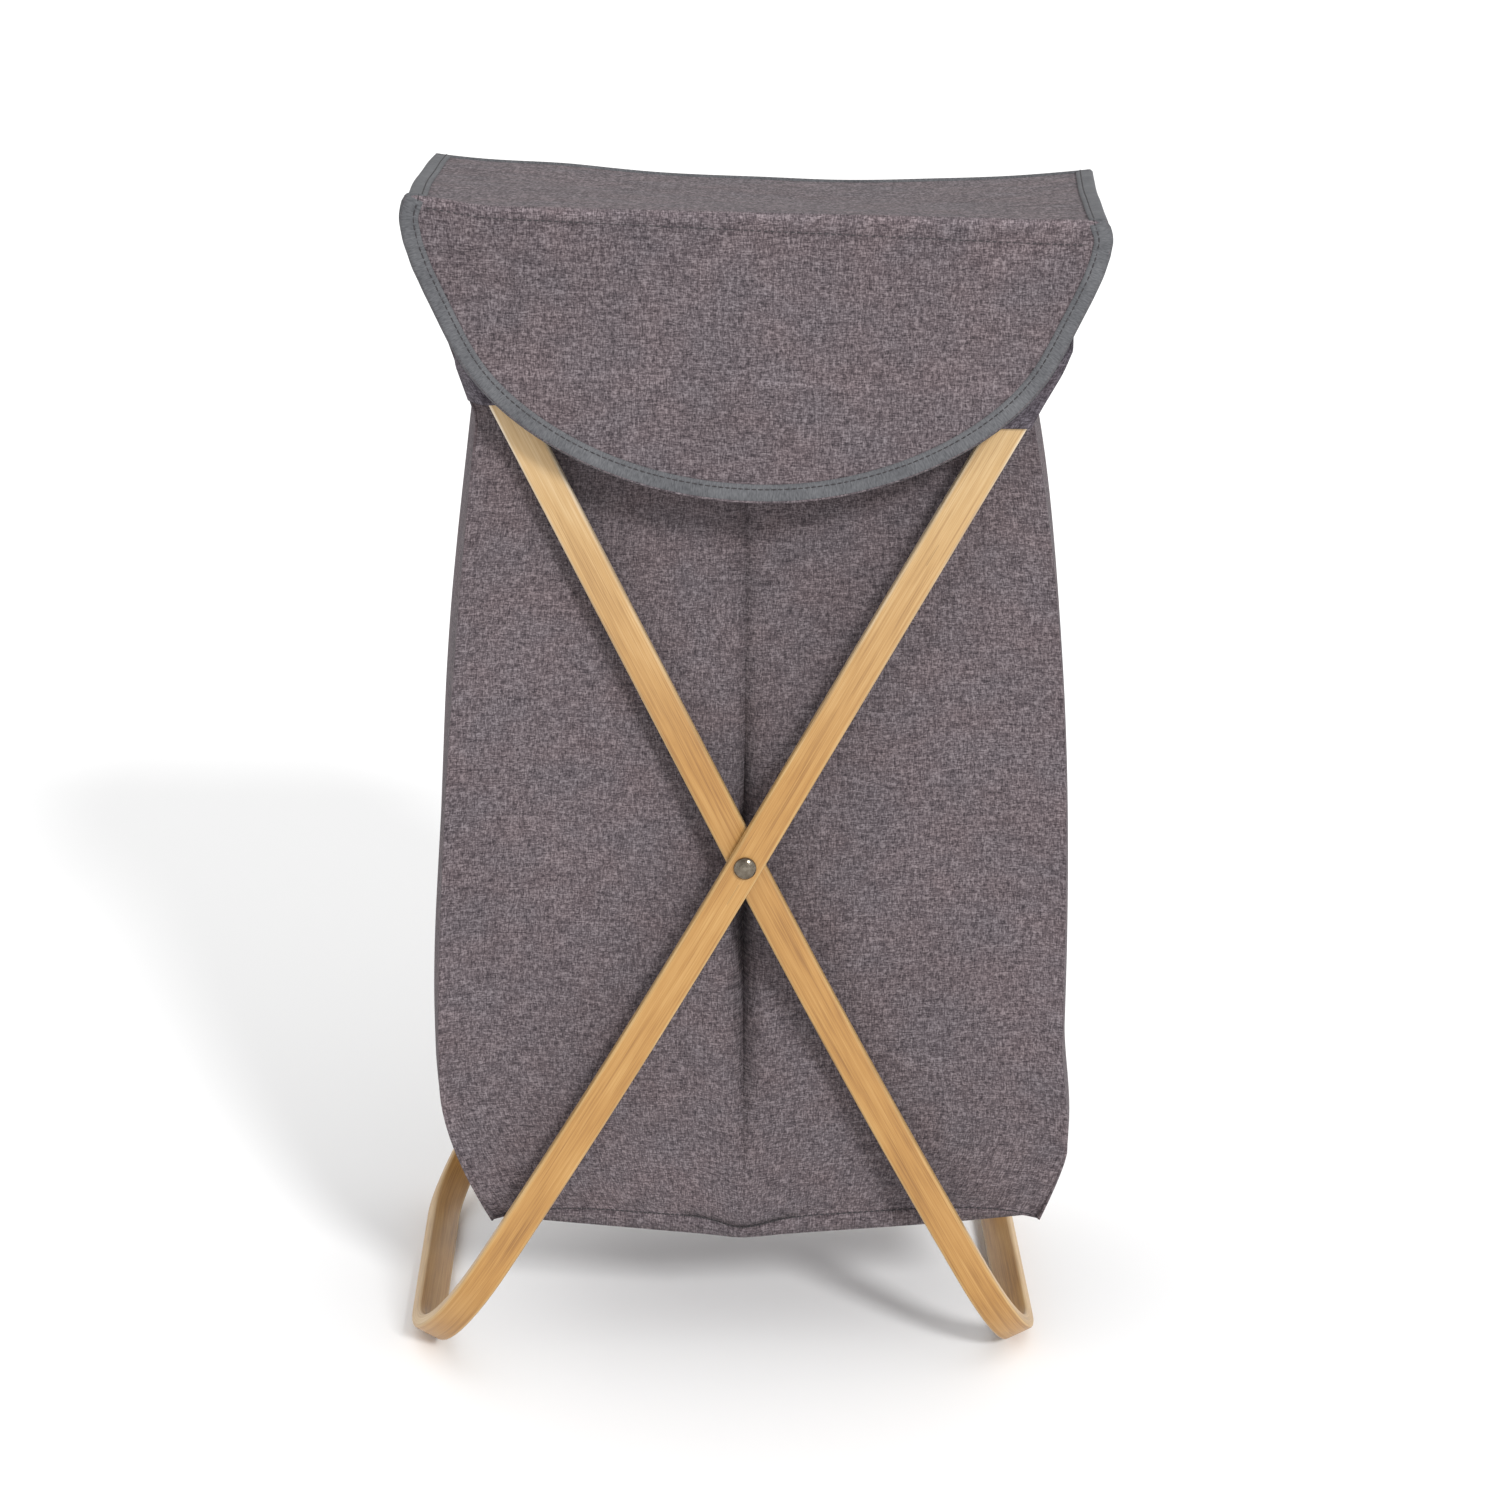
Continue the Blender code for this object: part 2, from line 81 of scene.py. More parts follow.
def newObject(name, bm, material, body, outward=True):
    if outward:
        bmesh.ops.recalc_face_normals(bm, faces=bm.faces)
    mesh = bpy.data.meshes.new(name)
    bm.to_mesh(mesh)
    bm.free()
    mesh.shade_smooth()
    mesh.materials.append(material)
    piece = bpy.data.objects.new(name, mesh)
    bpy.context.scene.collection.objects.link(piece)
    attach(piece, body)
    return piece


def meltDoubles(bm, distance=2e-5):
    bmesh.ops.remove_doubles(bm, verts=bm.verts, dist=distance)


def secondLayer(bm):
    pushed = bmesh.ops.extrude_face_region(bm, geom=bm.faces[:], use_keep_orig=True)["geom"]
    return [item for item in pushed if isinstance(item, bmesh.types.BMVert)]


def thicken(bm, depth):
    # closes a flat parameter sheet into a slab from z = 0 down to z = -depth
    bm.normal_update()
    bmesh.ops.translate(bm, verts=secondLayer(bm), vec=(0, 0, -depth))
    bmesh.ops.recalc_face_normals(bm, faces=bm.faces)


def layWeave(bm, place=lambda co: co.xy):
    # the weave map is the flat cut of the cloth in metres
    layer = bm.loops.layers.uv.verify()
    for face in bm.faces:
        for loop in face.loops:
            loop[layer].uv = place(loop.vert.co)


def squashWithFold(piece):
    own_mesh(piece)


# materials

def startMaterial(name):
    material = bpy.data.materials.new(name)
    material.use_nodes = True
    nodes = material.node_tree.nodes
    return material, nodes, material.node_tree.links, nodes["Principled BSDF"]


def noiseTexture(nodes, links, vector, scale, detail=3.0, rough=0.55, warp=0.0):
    texture = nodes.new("ShaderNodeTexNoise")
    texture.inputs["Scale"].default_value = scale
    texture.inputs["Detail"].default_value = detail
    texture.inputs["Roughness"].default_value = rough
    texture.inputs["Distortion"].default_value = warp
    links.new(vector, texture.inputs["Vector"])
    return texture.outputs["Fac"]


def stretched(nodes, links, vector, scale):
    mapping = nodes.new("ShaderNodeMapping")
    mapping.inputs["Scale"].default_value = scale
    links.new(vector, mapping.inputs["Vector"])
    return mapping.outputs["Vector"]


def calculate(nodes, links, operation, first, second=0.5, clamped=False):
    node = nodes.new("ShaderNodeMath")
    node.operation = operation
    node.use_clamp = clamped
    for socket, value in zip(node.inputs, (first, second)):
        if isinstance(value, (int, float)):
            socket.default_value = value
        else:
            links.new(value, socket)
    return node.outputs["Value"]


def ramp(nodes, links, value, stops):
    node = nodes.new("ShaderNodeValToRGB")
    while len(node.color_ramp.elements) < len(stops):
        node.color_ramp.elements.new(0.5)
    for element, (position, colour) in zip(node.color_ramp.elements, stops):
        element.position = position
        element.color = (*colour, 1.0)
    links.new(value, node.inputs["Fac"])
    return node.outputs["Color"]


def mapRange(nodes, links, value, **ends):
    # ends are the node's own sockets, written fromMin, fromMax, toMin and toMax
    node = nodes.new("ShaderNodeMapRange")
    for end, number in ends.items():
        node.inputs[end[:-3].title() + " " + end[-3:]].default_value = number
    links.new(value, node.inputs["Value"])
    return node.outputs["Result"]


def split(nodes, links, vector):
    node = nodes.new("ShaderNodeSeparateXYZ")
    links.new(vector, node.inputs["Vector"])
    return node.outputs


def multiplied(nodes, links, first, second):
    mixer = nodes.new("ShaderNodeMix")
    mixer.data_type = "RGBA"
    mixer.blend_type = "MULTIPLY"
    mixer.inputs["Factor"].default_value = 1.0
    links.new(first, mixer.inputs["A"])
    links.new(second, mixer.inputs["B"])
    return mixer.outputs["Result"]


def tint(nodes, links, colour, value, low, high):
    # multiplies a colour by a grey that runs from low to high with value
    return multiplied(nodes, links, colour, mapRange(nodes, links, value, toMin=low, toMax=high))


def blendIn(nodes, links, parts):
    # adds up several textures, each with its share
    total = None
    for texture, share in parts:
        part = calculate(nodes, links, "MULTIPLY", texture, share)
        total = part if total is None else calculate(nodes, links, "ADD", total, part)
    return total


def objectPlace(nodes):
    return nodes.new("ShaderNodeTexCoord").outputs["Object"]


def clothMap(nodes):
    return nodes.new("ShaderNodeUVMap").outputs["UV"]


def addBump(nodes, links, shader, height, strength, distance):
    node = nodes.new("ShaderNodeBump")
    node.inputs["Strength"].default_value = strength
    node.inputs["Distance"].default_value = distance
    links.new(height, node.inputs["Height"])
    links.new(node.outputs["Normal"], shader.inputs["Normal"])


linen = {
    "dark": (0.038, 0.031, 0.035),
    "middle": (0.099, 0.080, 0.087),
    "light": (0.208, 0.176, 0.186),
    "warm": (1.03, 1.00, 0.99),
    "cool": (0.97, 1.00, 1.01),
    "ridgeHighlight": 0.32,  # painted highlight: how much paler the cloth is where it folds over the ridge and catches the light
    "creasePaling": 0.16,  # how much paler the cloth is along the flap's old folding crease
    "creaseAt": 0.088,  # metres below the ridge
    "creaseSlant": 0.02,
    "slub": 330.0,  # slubs for each metre of a thread
    "thread": 1350.0,  # threads for each metre
    "patches": 11.0,
    "roughness": 0.95,
    "sheen": 0.04,
    "gloss": 0.08,
    "relief": 0.0012,
    "darkest": 0.42,  # where the yarn mix turns dark and light
    "lightest": 0.58,
    "mottle": 0.16,
}


def makeLinen(name, shade=(1.0, 1.0, 1.0), coarse=1.0, ridgeHighlightAndPaleCrease=False):
    # slubby two-tone plain weave, dark and light yarns crossing
    material, nodes, links, shader = startMaterial(name)
    weave = clothMap(nodes)
    fine, long = linen["thread"] / coarse, linen["slub"] / coarse
    yarns = [
        ((long, fine, 1), 0.25),
        ((fine, long, 1), 0.25),
        ((fine * 0.7, fine * 0.7, 1), 0.17),
        ((long * 0.3, fine * 0.4, 1), 0.13),
        ((fine * 0.4, long * 0.3, 1), 0.14),
        ((long * 0.15, fine * 0.25, 1), 0.06),
    ]
    value = blendIn(nodes, links, [
        (noiseTexture(nodes, links, stretched(nodes, links, weave, scale), 1.0, 2.0), share)
        for scale, share in yarns
    ])
    dark, middle, light = [
        [part * change for part, change in zip(linen[key], shade)]
        for key in ("dark", "middle", "light")
    ]
    stops = [(linen["darkest"], dark), (0.5, middle), (linen["lightest"], light)]
    colour = ramp(nodes, links, value, stops)
    patches = noiseTexture(nodes, links, weave, linen["patches"], 3.0)
    colour = tint(nodes, links, colour, patches, 1 - linen["mottle"], 1 + linen["mottle"])
    hues = noiseTexture(nodes, links, stretched(nodes, links, weave, (23, 31, 1)), 1.0, 2.0)
    hue = ramp(nodes, links, hues, [(0.35, linen["cool"]), (0.65, linen["warm"])])
    colour = multiplied(nodes, links, colour, hue)
    # painted highlight along the ridge fold, and a paler line along the old crease
    if ridgeHighlightAndPaleCrease:
        cut = split(nodes, links, weave)
        ridge = calculate(nodes, links, "ADD", cut["Y"], 0.001)
        slant = calculate(nodes, links, "MULTIPLY", cut["X"], linen["creaseSlant"])
        crease = calculate(nodes, links, "ADD", cut["Y"], linen["creaseAt"])
        crease = calculate(nodes, links, "ADD", crease, slant)
        for line, reach, toneShift in (
            (ridge, 0.0045, linen["ridgeHighlight"]),
            (crease, 0.0035, linen["creasePaling"]),
        ):
            away = calculate(nodes, links, "ABSOLUTE", line)
            away = calculate(nodes, links, "DIVIDE", away, reach)
            near = calculate(nodes, links, "SUBTRACT", 1.0, away, True)
            near = calculate(nodes, links, "MULTIPLY", near, patches)
            colour = tint(nodes, links, colour, near, 1.0, 1 + 2 * toneShift)
    links.new(colour, shader.inputs["Base Color"])
    shader.inputs["Roughness"].default_value = linen["roughness"]
    shader.inputs["Sheen Weight"].default_value = linen["sheen"]
    shader.inputs["Sheen Roughness"].default_value = 0.6
    shader.inputs["Specular IOR Level"].default_value = linen["gloss"]
    addBump(nodes, links, shader, value, 0.6, linen["relief"])
    return material


tapeLook = {
    "dark": (0.056, 0.057, 0.063),
    "light": (0.138, 0.140, 0.148),
    "rib": 1300.0,  # ribs for each metre
    "toneShift": 45.0,
    "roughness": 0.78,
    "gloss": 0.3,
    "relief": 0.0006,
}


def makeTape(name):
    material, nodes, links, shader = startMaterial(name)
    weave = clothMap(nodes)
    rib = tapeLook["rib"]
    ribs = noiseTexture(nodes, links, stretched(nodes, links, weave, (rib, rib * 0.25, 1)), 1.0, 1.0)
    # worn patches make the tape's tone uneven
    toneShift = noiseTexture(nodes, links, weave, tapeLook["toneShift"], 3.0)
    both = blendIn(nodes, links, [(ribs, 0.6), (toneShift, 0.4)])
    colour = ramp(nodes, links, both, [(0.3, tapeLook["dark"]), (0.7, tapeLook["light"])])
    links.new(colour, shader.inputs["Base Color"])
    shader.inputs["Roughness"].default_value = tapeLook["roughness"]
    shader.inputs["Specular IOR Level"].default_value = tapeLook["gloss"]
    addBump(nodes, links, shader, ribs, 0.4, tapeLook["relief"])
    return material


def makeThread(name, colour):
    material, nodes, links, shader = startMaterial(name)
    twist = noiseTexture(nodes, links, objectPlace(nodes), 900.0, 1.0)
    dark, light = [part * 0.6 for part in colour], [part * 1.5 for part in colour]
    links.new(ramp(nodes, links, twist, [(0.3, dark), (0.7, light)]), shader.inputs["Base Color"])
    shader.inputs["Roughness"].default_value = 0.8
    return material


bambooLook = {
    "deep": (0.180, 0.076, 0.018),
    "honey": (0.375, 0.190, 0.048),
    "pale": (0.480, 0.280, 0.094),
    "paleTop": (1.28, 1.65, 2.9),  # the upper ends are paler and bluer, set by height above the floor
    "paleTopFrom": 0.36,
    "paleTopTo": 0.56,
    "edgeHighlight": (1.20, 1.45, 2.1),  # painted highlight: the long edges are paler where their rounded bevel would catch the light
    "edgeHighlightFrom": 0.0074,
    "edgeHighlightTo": 0.0088,
    "ring": 0.028,  # size of the growth marks
    "ringDark": 0.45,
    "roughness": 0.42,
    "coat": 0.18,
}


def makeBamboo(name):
    # grain runs along the strip: the attribute holds (along, across, through) in metres
    material, nodes, links, shader = startMaterial(name)
    attribute = nodes.new("ShaderNodeAttribute")
    attribute.attribute_name = "grain"
    grain = attribute.outputs["Vector"]
    fibres = noiseTexture(nodes, links, stretched(nodes, links, grain, (22, 1700, 1700)), 1.0, 3.0, 0.6)
    strands = stretched(nodes, links, grain, (8, 420, 420))
    strands = noiseTexture(nodes, links, strands, 1.0, 2.0, 0.5, 0.4)
    clouds = noiseTexture(nodes, links, stretched(nodes, links, grain, (16, 90, 90)), 1.0, 3.0)
    value = blendIn(nodes, links, [(fibres, 0.45), (strands, 0.2), (clouds, 0.35)])
    deep, honey, pale = bambooLook["deep"], bambooLook["honey"], bambooLook["pale"]
    colour = ramp(nodes, links, value, [(0.30, deep), (0.50, honey), (0.68, pale)])
    # growth rings of the cane: a thin dark mark every so often on each lamination
    cells = nodes.new("ShaderNodeTexVoronoi")
    cells.distance = "CHEBYCHEV"
    cells.feature = "F1"
    cells.inputs["Scale"].default_value = 1.0
    links.new(stretched(nodes, links, grain, (4.3, 120, 120)), cells.inputs["Vector"])
    mark = calculate(nodes, links, "LESS_THAN", cells.outputs["Distance"], bambooLook["ring"])
    soft = calculate(nodes, links, "MULTIPLY", mark, strands)
    colour = tint(nodes, links, colour, soft, 1.0, bambooLook["ringDark"])
    height = split(nodes, links, objectPlace(nodes))["Z"]
    across = calculate(nodes, links, "ABSOLUTE", split(nodes, links, grain)["Y"])
    # paler upper ends, and a painted highlight along the long edges
    for value, start, end, paler in (
        (height, bambooLook["paleTopFrom"], bambooLook["paleTopTo"], bambooLook["paleTop"]),
        (across, bambooLook["edgeHighlightFrom"], bambooLook["edgeHighlightTo"], bambooLook["edgeHighlight"]),
    ):
        share = mapRange(nodes, links, value, fromMin=start, fromMax=end)
        change = ramp(nodes, links, share, [(0.0, (1, 1, 1)), (1.0, paler)])
        colour = multiplied(nodes, links, colour, change)
    links.new(colour, shader.inputs["Base Color"])
    shader.inputs["Roughness"].default_value = bambooLook["roughness"]
    shader.inputs["Coat Weight"].default_value = bambooLook["coat"]
    shader.inputs["Coat Roughness"].default_value = 0.35
    addBump(nodes, links, shader, fibres, 0.18, 0.0004)
    return material


# the nickel is coloured far darker than real nickel: a painted dark reflection, so the heads don't
# mirror the white studio
nickelLook = {"dark": (0.10, 0.08, 0.06), "light": (0.23, 0.20, 0.16), "smooth": 0.10, "dull": 0.26}
nylonLook = {"dark": (0.66, 0.64, 0.58), "light": (0.78, 0.76, 0.70), "roughness": 0.5}


def makeNickel(name):
    material, nodes, links, shader = startMaterial(name)
    smear = noiseTexture(nodes, links, objectPlace(nodes), 260.0, 3.0)
    colour = ramp(nodes, links, smear, [(0.3, nickelLook["dark"]), (0.7, nickelLook["light"])])
    links.new(colour, shader.inputs["Base Color"])
    dullness = mapRange(nodes, links, smear, toMin=nickelLook["smooth"], toMax=nickelLook["dull"])
    links.new(dullness, shader.inputs["Roughness"])
    shader.inputs["Metallic"].default_value = 1.0
    return material


def makeNylon(name):
    material, nodes, links, shader = startMaterial(name)
    cloud = noiseTexture(nodes, links, objectPlace(nodes), 400.0, 2.0)
    colour = ramp(nodes, links, cloud, [(0.3, nylonLook["dark"]), (0.7, nylonLook["light"])])
    links.new(colour, shader.inputs["Base Color"])
    shader.inputs["Roughness"].default_value = nylonLook["roughness"]
    return material


linenCloth = makeLinen("grey_linen_cloth")
flapLinen = makeLinen("flap_linen_cloth", ridgeHighlightAndPaleCrease=True)
topLinen = makeLinen("lid_linen_cloth", coarse=2.1, ridgeHighlightAndPaleCrease=True)
# the pockets' linen is tinted darker and bluer: painted shade for the shadow the pockets sit in
pocketCloth = makeLinen("pocket_cloth", (0.78, 0.82, 0.89))
bindingTape = makeTape("woven_binding_tape")
darkThread = makeThread("dark_thread", (0.030, 0.027, 0.030))
bamboo = makeBamboo("laminated_bamboo")
nickel = makeNickel("polished_nickel")
nylon = makeNylon("white_nylon")
print("materials made")


# bamboo loops: a rounded strip drawn down one leg, round the floor corners and up the other leg

loopShape = {
    "width": 0.0185,
    "thickness": 0.009,
    "edge": 0.0019,  # rounding of the long edges
    "hidden": 0.017,  # the ends stop this far short inside their pockets
    "footEdge": 0.0025,  # rounding that the floor bar stands on
    "reach": {"outer_frame_loop": 0.357, "inner_frame_loop": 0.347},  # from pivot to floor bar
    "bend": {"outer_frame_loop": 0.078, "inner_frame_loop": 0.062},
    "bow": 0.176,  # the legs lean out more and more below the pivot
    "legSteps": 34,
    "bendSteps": 16,
    "barSteps": 6,
    "sharp": math.radians(50),
}


def shiftGrain(verts, grainLayer, length):
    for vert in verts:
        along, across, through = vert[grainLayer]
        vert[grainLayer] = (along + length, across, through)


def pushFace(bm, face, change, grainLayer, length):
    pushed = bmesh.ops.extrude_face_region(bm, geom=[face])["geom"]
    newFace = [item for item in pushed if isinstance(item, bmesh.types.BMFace)][0]
    change(newFace.verts)
    shiftGrain(newFace.verts, grainLayer, length)
    bm.faces.remove(face)
    return newFace


def makeLoop(node, body, side, seed):
    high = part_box(node)[1]
    size = loopShape
    depth = high.y - size["thickness"] / 2
    lean, reach, bend = findLean(node), size["reach"][node], size["bend"][node]
    top = (high.z - pivot.z - size["width"] / 2 * math.sin(lean)) / math.cos(lean) - size["hidden"]
    bendTop = -reach + size["thickness"] / 2 + bend
    bm = bmesh.new()
    grainLayer = bm.verts.layers.float_vector.new("grain")
    bmesh.ops.create_grid(bm, x_segments=1, y_segments=1, size=0.5)
    bmesh.ops.scale(bm, verts=bm.verts, vec=(size["width"], size["thickness"], 1))
    bmesh.ops.bevel(
        bm, geom=bm.verts[:], offset=size["edge"], affect="VERTICES",
        segments=4, profile=0.5, material=-1,
    )
    face = bm.faces[:][0]
    for vert in bm.verts:
        vert[grainLayer] = (seed, vert.co.x, vert.co.y)
    bmesh.ops.translate(bm, verts=bm.verts, vec=(0, -depth, top))
    if face.normal.z < 0:
        face.normal_flip()
    endCap = bmesh.ops.extrude_face_region(bm, geom=[face], use_keep_orig=True)["geom"]
    face = [item for item in endCap if isinstance(item, bmesh.types.BMFace)][0]
    legStep = (bendTop - top) / size["legSteps"]
    turnStep = math.pi / 2 / size["bendSteps"]
    barStep = 2 * (depth - bend) / size["barSteps"]

    def slide(offset):
        return lambda verts: bmesh.ops.translate(bm, verts=verts, vec=offset)

    def turn(centre):
        return lambda verts: bmesh.ops.rotate(
            bm, verts=verts, cent=centre, matrix=Matrix.Rotation(turnStep, 3, "X")
        )

    bmesh.ops.translate(bm, verts=face.verts, vec=(0, 0, legStep))
    shiftGrain(face.verts, grainLayer, -legStep)
    for _ in range(size["legSteps"] - 1):
        face = pushFace(bm, face, slide((0, 0, legStep)), grainLayer, -legStep)
    for _ in range(size["bendSteps"]):
        face = pushFace(bm, face, turn((0, -depth + bend, bendTop)), grainLayer, turnStep * bend)
    for _ in range(size["barSteps"]):
        face = pushFace(bm, face, slide((0, barStep, 0)), grainLayer, barStep)
    for _ in range(size["bendSteps"]):
        face = pushFace(bm, face, turn((0, depth - bend, bendTop)), grainLayer, turnStep * bend)
    for _ in range(size["legSteps"]):
        face = pushFace(bm, face, slide((0, 0, -legStep)), grainLayer, -legStep)
    for vert in bm.verts:
        if vert.co.z < 0:
            vert.co.x -= side * size["bow"] * vert.co.z**2 / 2
    bmesh.ops.rotate(bm, verts=bm.verts, cent=(0, 0, 0), matrix=Matrix.Rotation(side * lean, 3, "Y"))
    bmesh.ops.translate(bm, verts=bm.verts, vec=pivot)
    meltDoubles(bm)
    loop = newObject(node.replace("_frame_", "_bamboo_"), bm, bamboo, body)
    loop.data.set_sharp_from_angle(angle=size["sharp"])
    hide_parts(node)


def findLean(node):
    # each loop stands on the floor at its own lean, because one floor bar nests inside the other
    size = loopShape
    reach, edge = size["reach"][node], size["footEdge"]
    across = size["width"] / 2 - edge - size["bow"] * reach**2 / 2
    down = reach - edge
    rise = pivot.z - edge
    return math.atan2(across, down) + math.acos(rise / math.hypot(across, down))


makeLoop("outer_frame_loop", "outer_loop", 1, 0.0)
makeLoop("inner_frame_loop", "inner_loop", -1, 3.7)
print("bamboo loops made")


# pivot screws, washers and nuts

screwHead = {
    "radius": 0.00625,
    "height": 0.0036,
    "rim": 0.0009,
    "edge": 0.0003,
    "domeSteps": 8,
    "steps": 48,
    "sharp": math.radians(40),
}


def makeScrewHead(place, side):
    # a low dome on a thin rim, turned about the pivot axis
    low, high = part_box(place + "_pivot_screw")
    seat = (low.y if side < 0 else high.y) - side * screwHead["height"]
    bm = bmesh.new()
    radius, rim, edge = screwHead["radius"], screwHead["rim"], screwHead["edge"]
    rise = screwHead["height"] - rim
    ball = (radius**2 + rise**2) / (2 * rise)  # radius of the sphere the dome is cut from
    outline = [(0.0, 0.0), (radius - edge, 0.0), (radius, edge)]
    outline += [(radius, rim - 0.0002), (radius - edge, rim)]
    start = math.asin((radius - 0.0005) / ball)
    for step in range(screwHead["domeSteps"]):
        angle = start * (1 - (step + 1) / screwHead["domeSteps"])
        outline.append((ball * math.sin(angle), rim + ball * math.cos(angle) - (ball - rise)))
    verts = [bm.verts.new((across, side * up, 0)) for across, up in outline]
    edges = [bm.edges.new(pair) for pair in zip(verts, verts[1:])]
    bmesh.ops.spin(
        bm, geom=verts + edges, cent=(0, 0, 0), axis=(0, 1, 0), angle=math.tau,
        steps=screwHead["steps"], use_merge=True,
    )
    meltDoubles(bm, 1e-6)
    bmesh.ops.translate(bm, verts=bm.verts, vec=(pivot.x, seat, pivot.z))
    head = newObject(place + "_screw_head", bm, nickel, "pivots")
    head.data.set_sharp_from_angle(angle=screwHead["sharp"])


for place, side in (("front", -1), ("rear", 1)):
    makeScrewHead(place, side)
    frame["nodes"][place + "_pivot_screw"].data.materials[0] = nickel
    frame["nodes"][place + "_pivot_nut"].data.materials[0] = nickel
    frame["nodes"][place + "_pivot_washer"].data.materials[0] = nylon
print("pivot hardware made")


# bag: one lofted shell, creased down the middle, pinched at its corner seams, hanging in a shallow V

bagLow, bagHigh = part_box("bag_front_panel")
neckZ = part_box("front_right_pocket")[0].z
bagDepth = -bagLow.y  # from the middle to the outside of the front wall
bag = {
    "rim": 0.186,
    "bellyZ": 0.200,
    "left": {
        "neck": 0.1484,
        "belly": 0.1745,
        "draw": 1.55,  # how suddenly the belly draws in to the neck
        "swell": 0.0,
        "cornerZ": 0.172,
        "bottom": 0.1465,
        "round": 1.7,
    },
    "right": {
        "neck": 0.1575,
        "belly": 0.183,
        "draw": 2.8,
        "swell": 0.0048,
        "cornerZ": 0.130,
        "bottom": 0.1736,
        "round": 1.25,
    },
    "rimDrop": 0.011,  # the rear rim hangs lower than the front one
    "rimTilt": 0.0025,
    "rimSag": 0.004,
    "rearRimSag": 0.008,
    "bottomZ": 0.0886,
    "sag": 0.013,  # the bottom hangs lower in the middle
    "seamInset": 0.005,  # side walls belly out past the corner seams
    "lip": 0.0145,  # the bottom rolls out below its front and rear seams
    "lipRoll": 0.012,
    "drop": 0.0055,
    "bite": 0.0060,  # the walls pull in above the roll
    "fold": 0.0042,  # the fold down the middle of the front and rear walls
    "foldDeep": 0.018,  # and where it is deepest, behind the crossing
    "foldDeepZ": 0.265,
    "valley": 0.010,  # the walls lean in towards that fold
    "ripple": 0.0016,
    "sideRipple": 0.0025,
    "sideFold": 0.004,
    "cornerPush": 0.0011,  # corner seams stand out a little
    "cloth": 0.0013,
    "hem": 0.022,
    "hemOut": 0.0011,
    "hemCloth": 0.0009,
    "hemRows": 5,
    "columns": 72,
    "deepColumns": 44,
    "rows": 110,
}
bagWide = (bag["left"]["belly"] + bag["right"]["belly"]) / 2
bagTall = bagHigh.z - bag["bottomZ"]
middleOfBag = Vector((0, 0, (bagHigh.z + bag["bottomZ"]) / 2))


def bagHalfWidth(z, side):
    # the right side hangs fuller than the left, with a squarer lower corner
    shape = bag["right"] if side > 0 else bag["left"]
    neck, belly = shape["neck"], shape["belly"]
    if z >= neckZ:
        return neck + (bag["rim"] - neck) * (z - neckZ) / (bagHigh.z - neckZ)
    if z >= bag["bellyZ"]:
        share = (z - bag["bellyZ"]) / (neckZ - bag["bellyZ"])
        return belly - (belly - neck) * share ** shape["draw"]
    widest = belly + shape["swell"]
    share = clamp((shape["cornerZ"] - z) / (shape["cornerZ"] - bag["bottomZ"]), 0, 1.2)
    swell = shape["swell"] * (1 - ease(0.14, bag["bellyZ"], z))
    return belly + swell - (widest - shape["bottom"]) * share ** shape["round"]


def rimHeight(across, deep):
    # the rim hangs a little between the four leg tips, most of all at the back
    middle = (1 - across**2) * 0.5 + (1 - deep**2) * 0.5
    back = ease(-1.0, 1.0, deep)
    drop = back * (bag["rimDrop"] + bag["rimTilt"] * across)
    return bagHigh.z - 0.002 - drop - middle * (bag["rimSag"] + bag["rearRimSag"] * back)


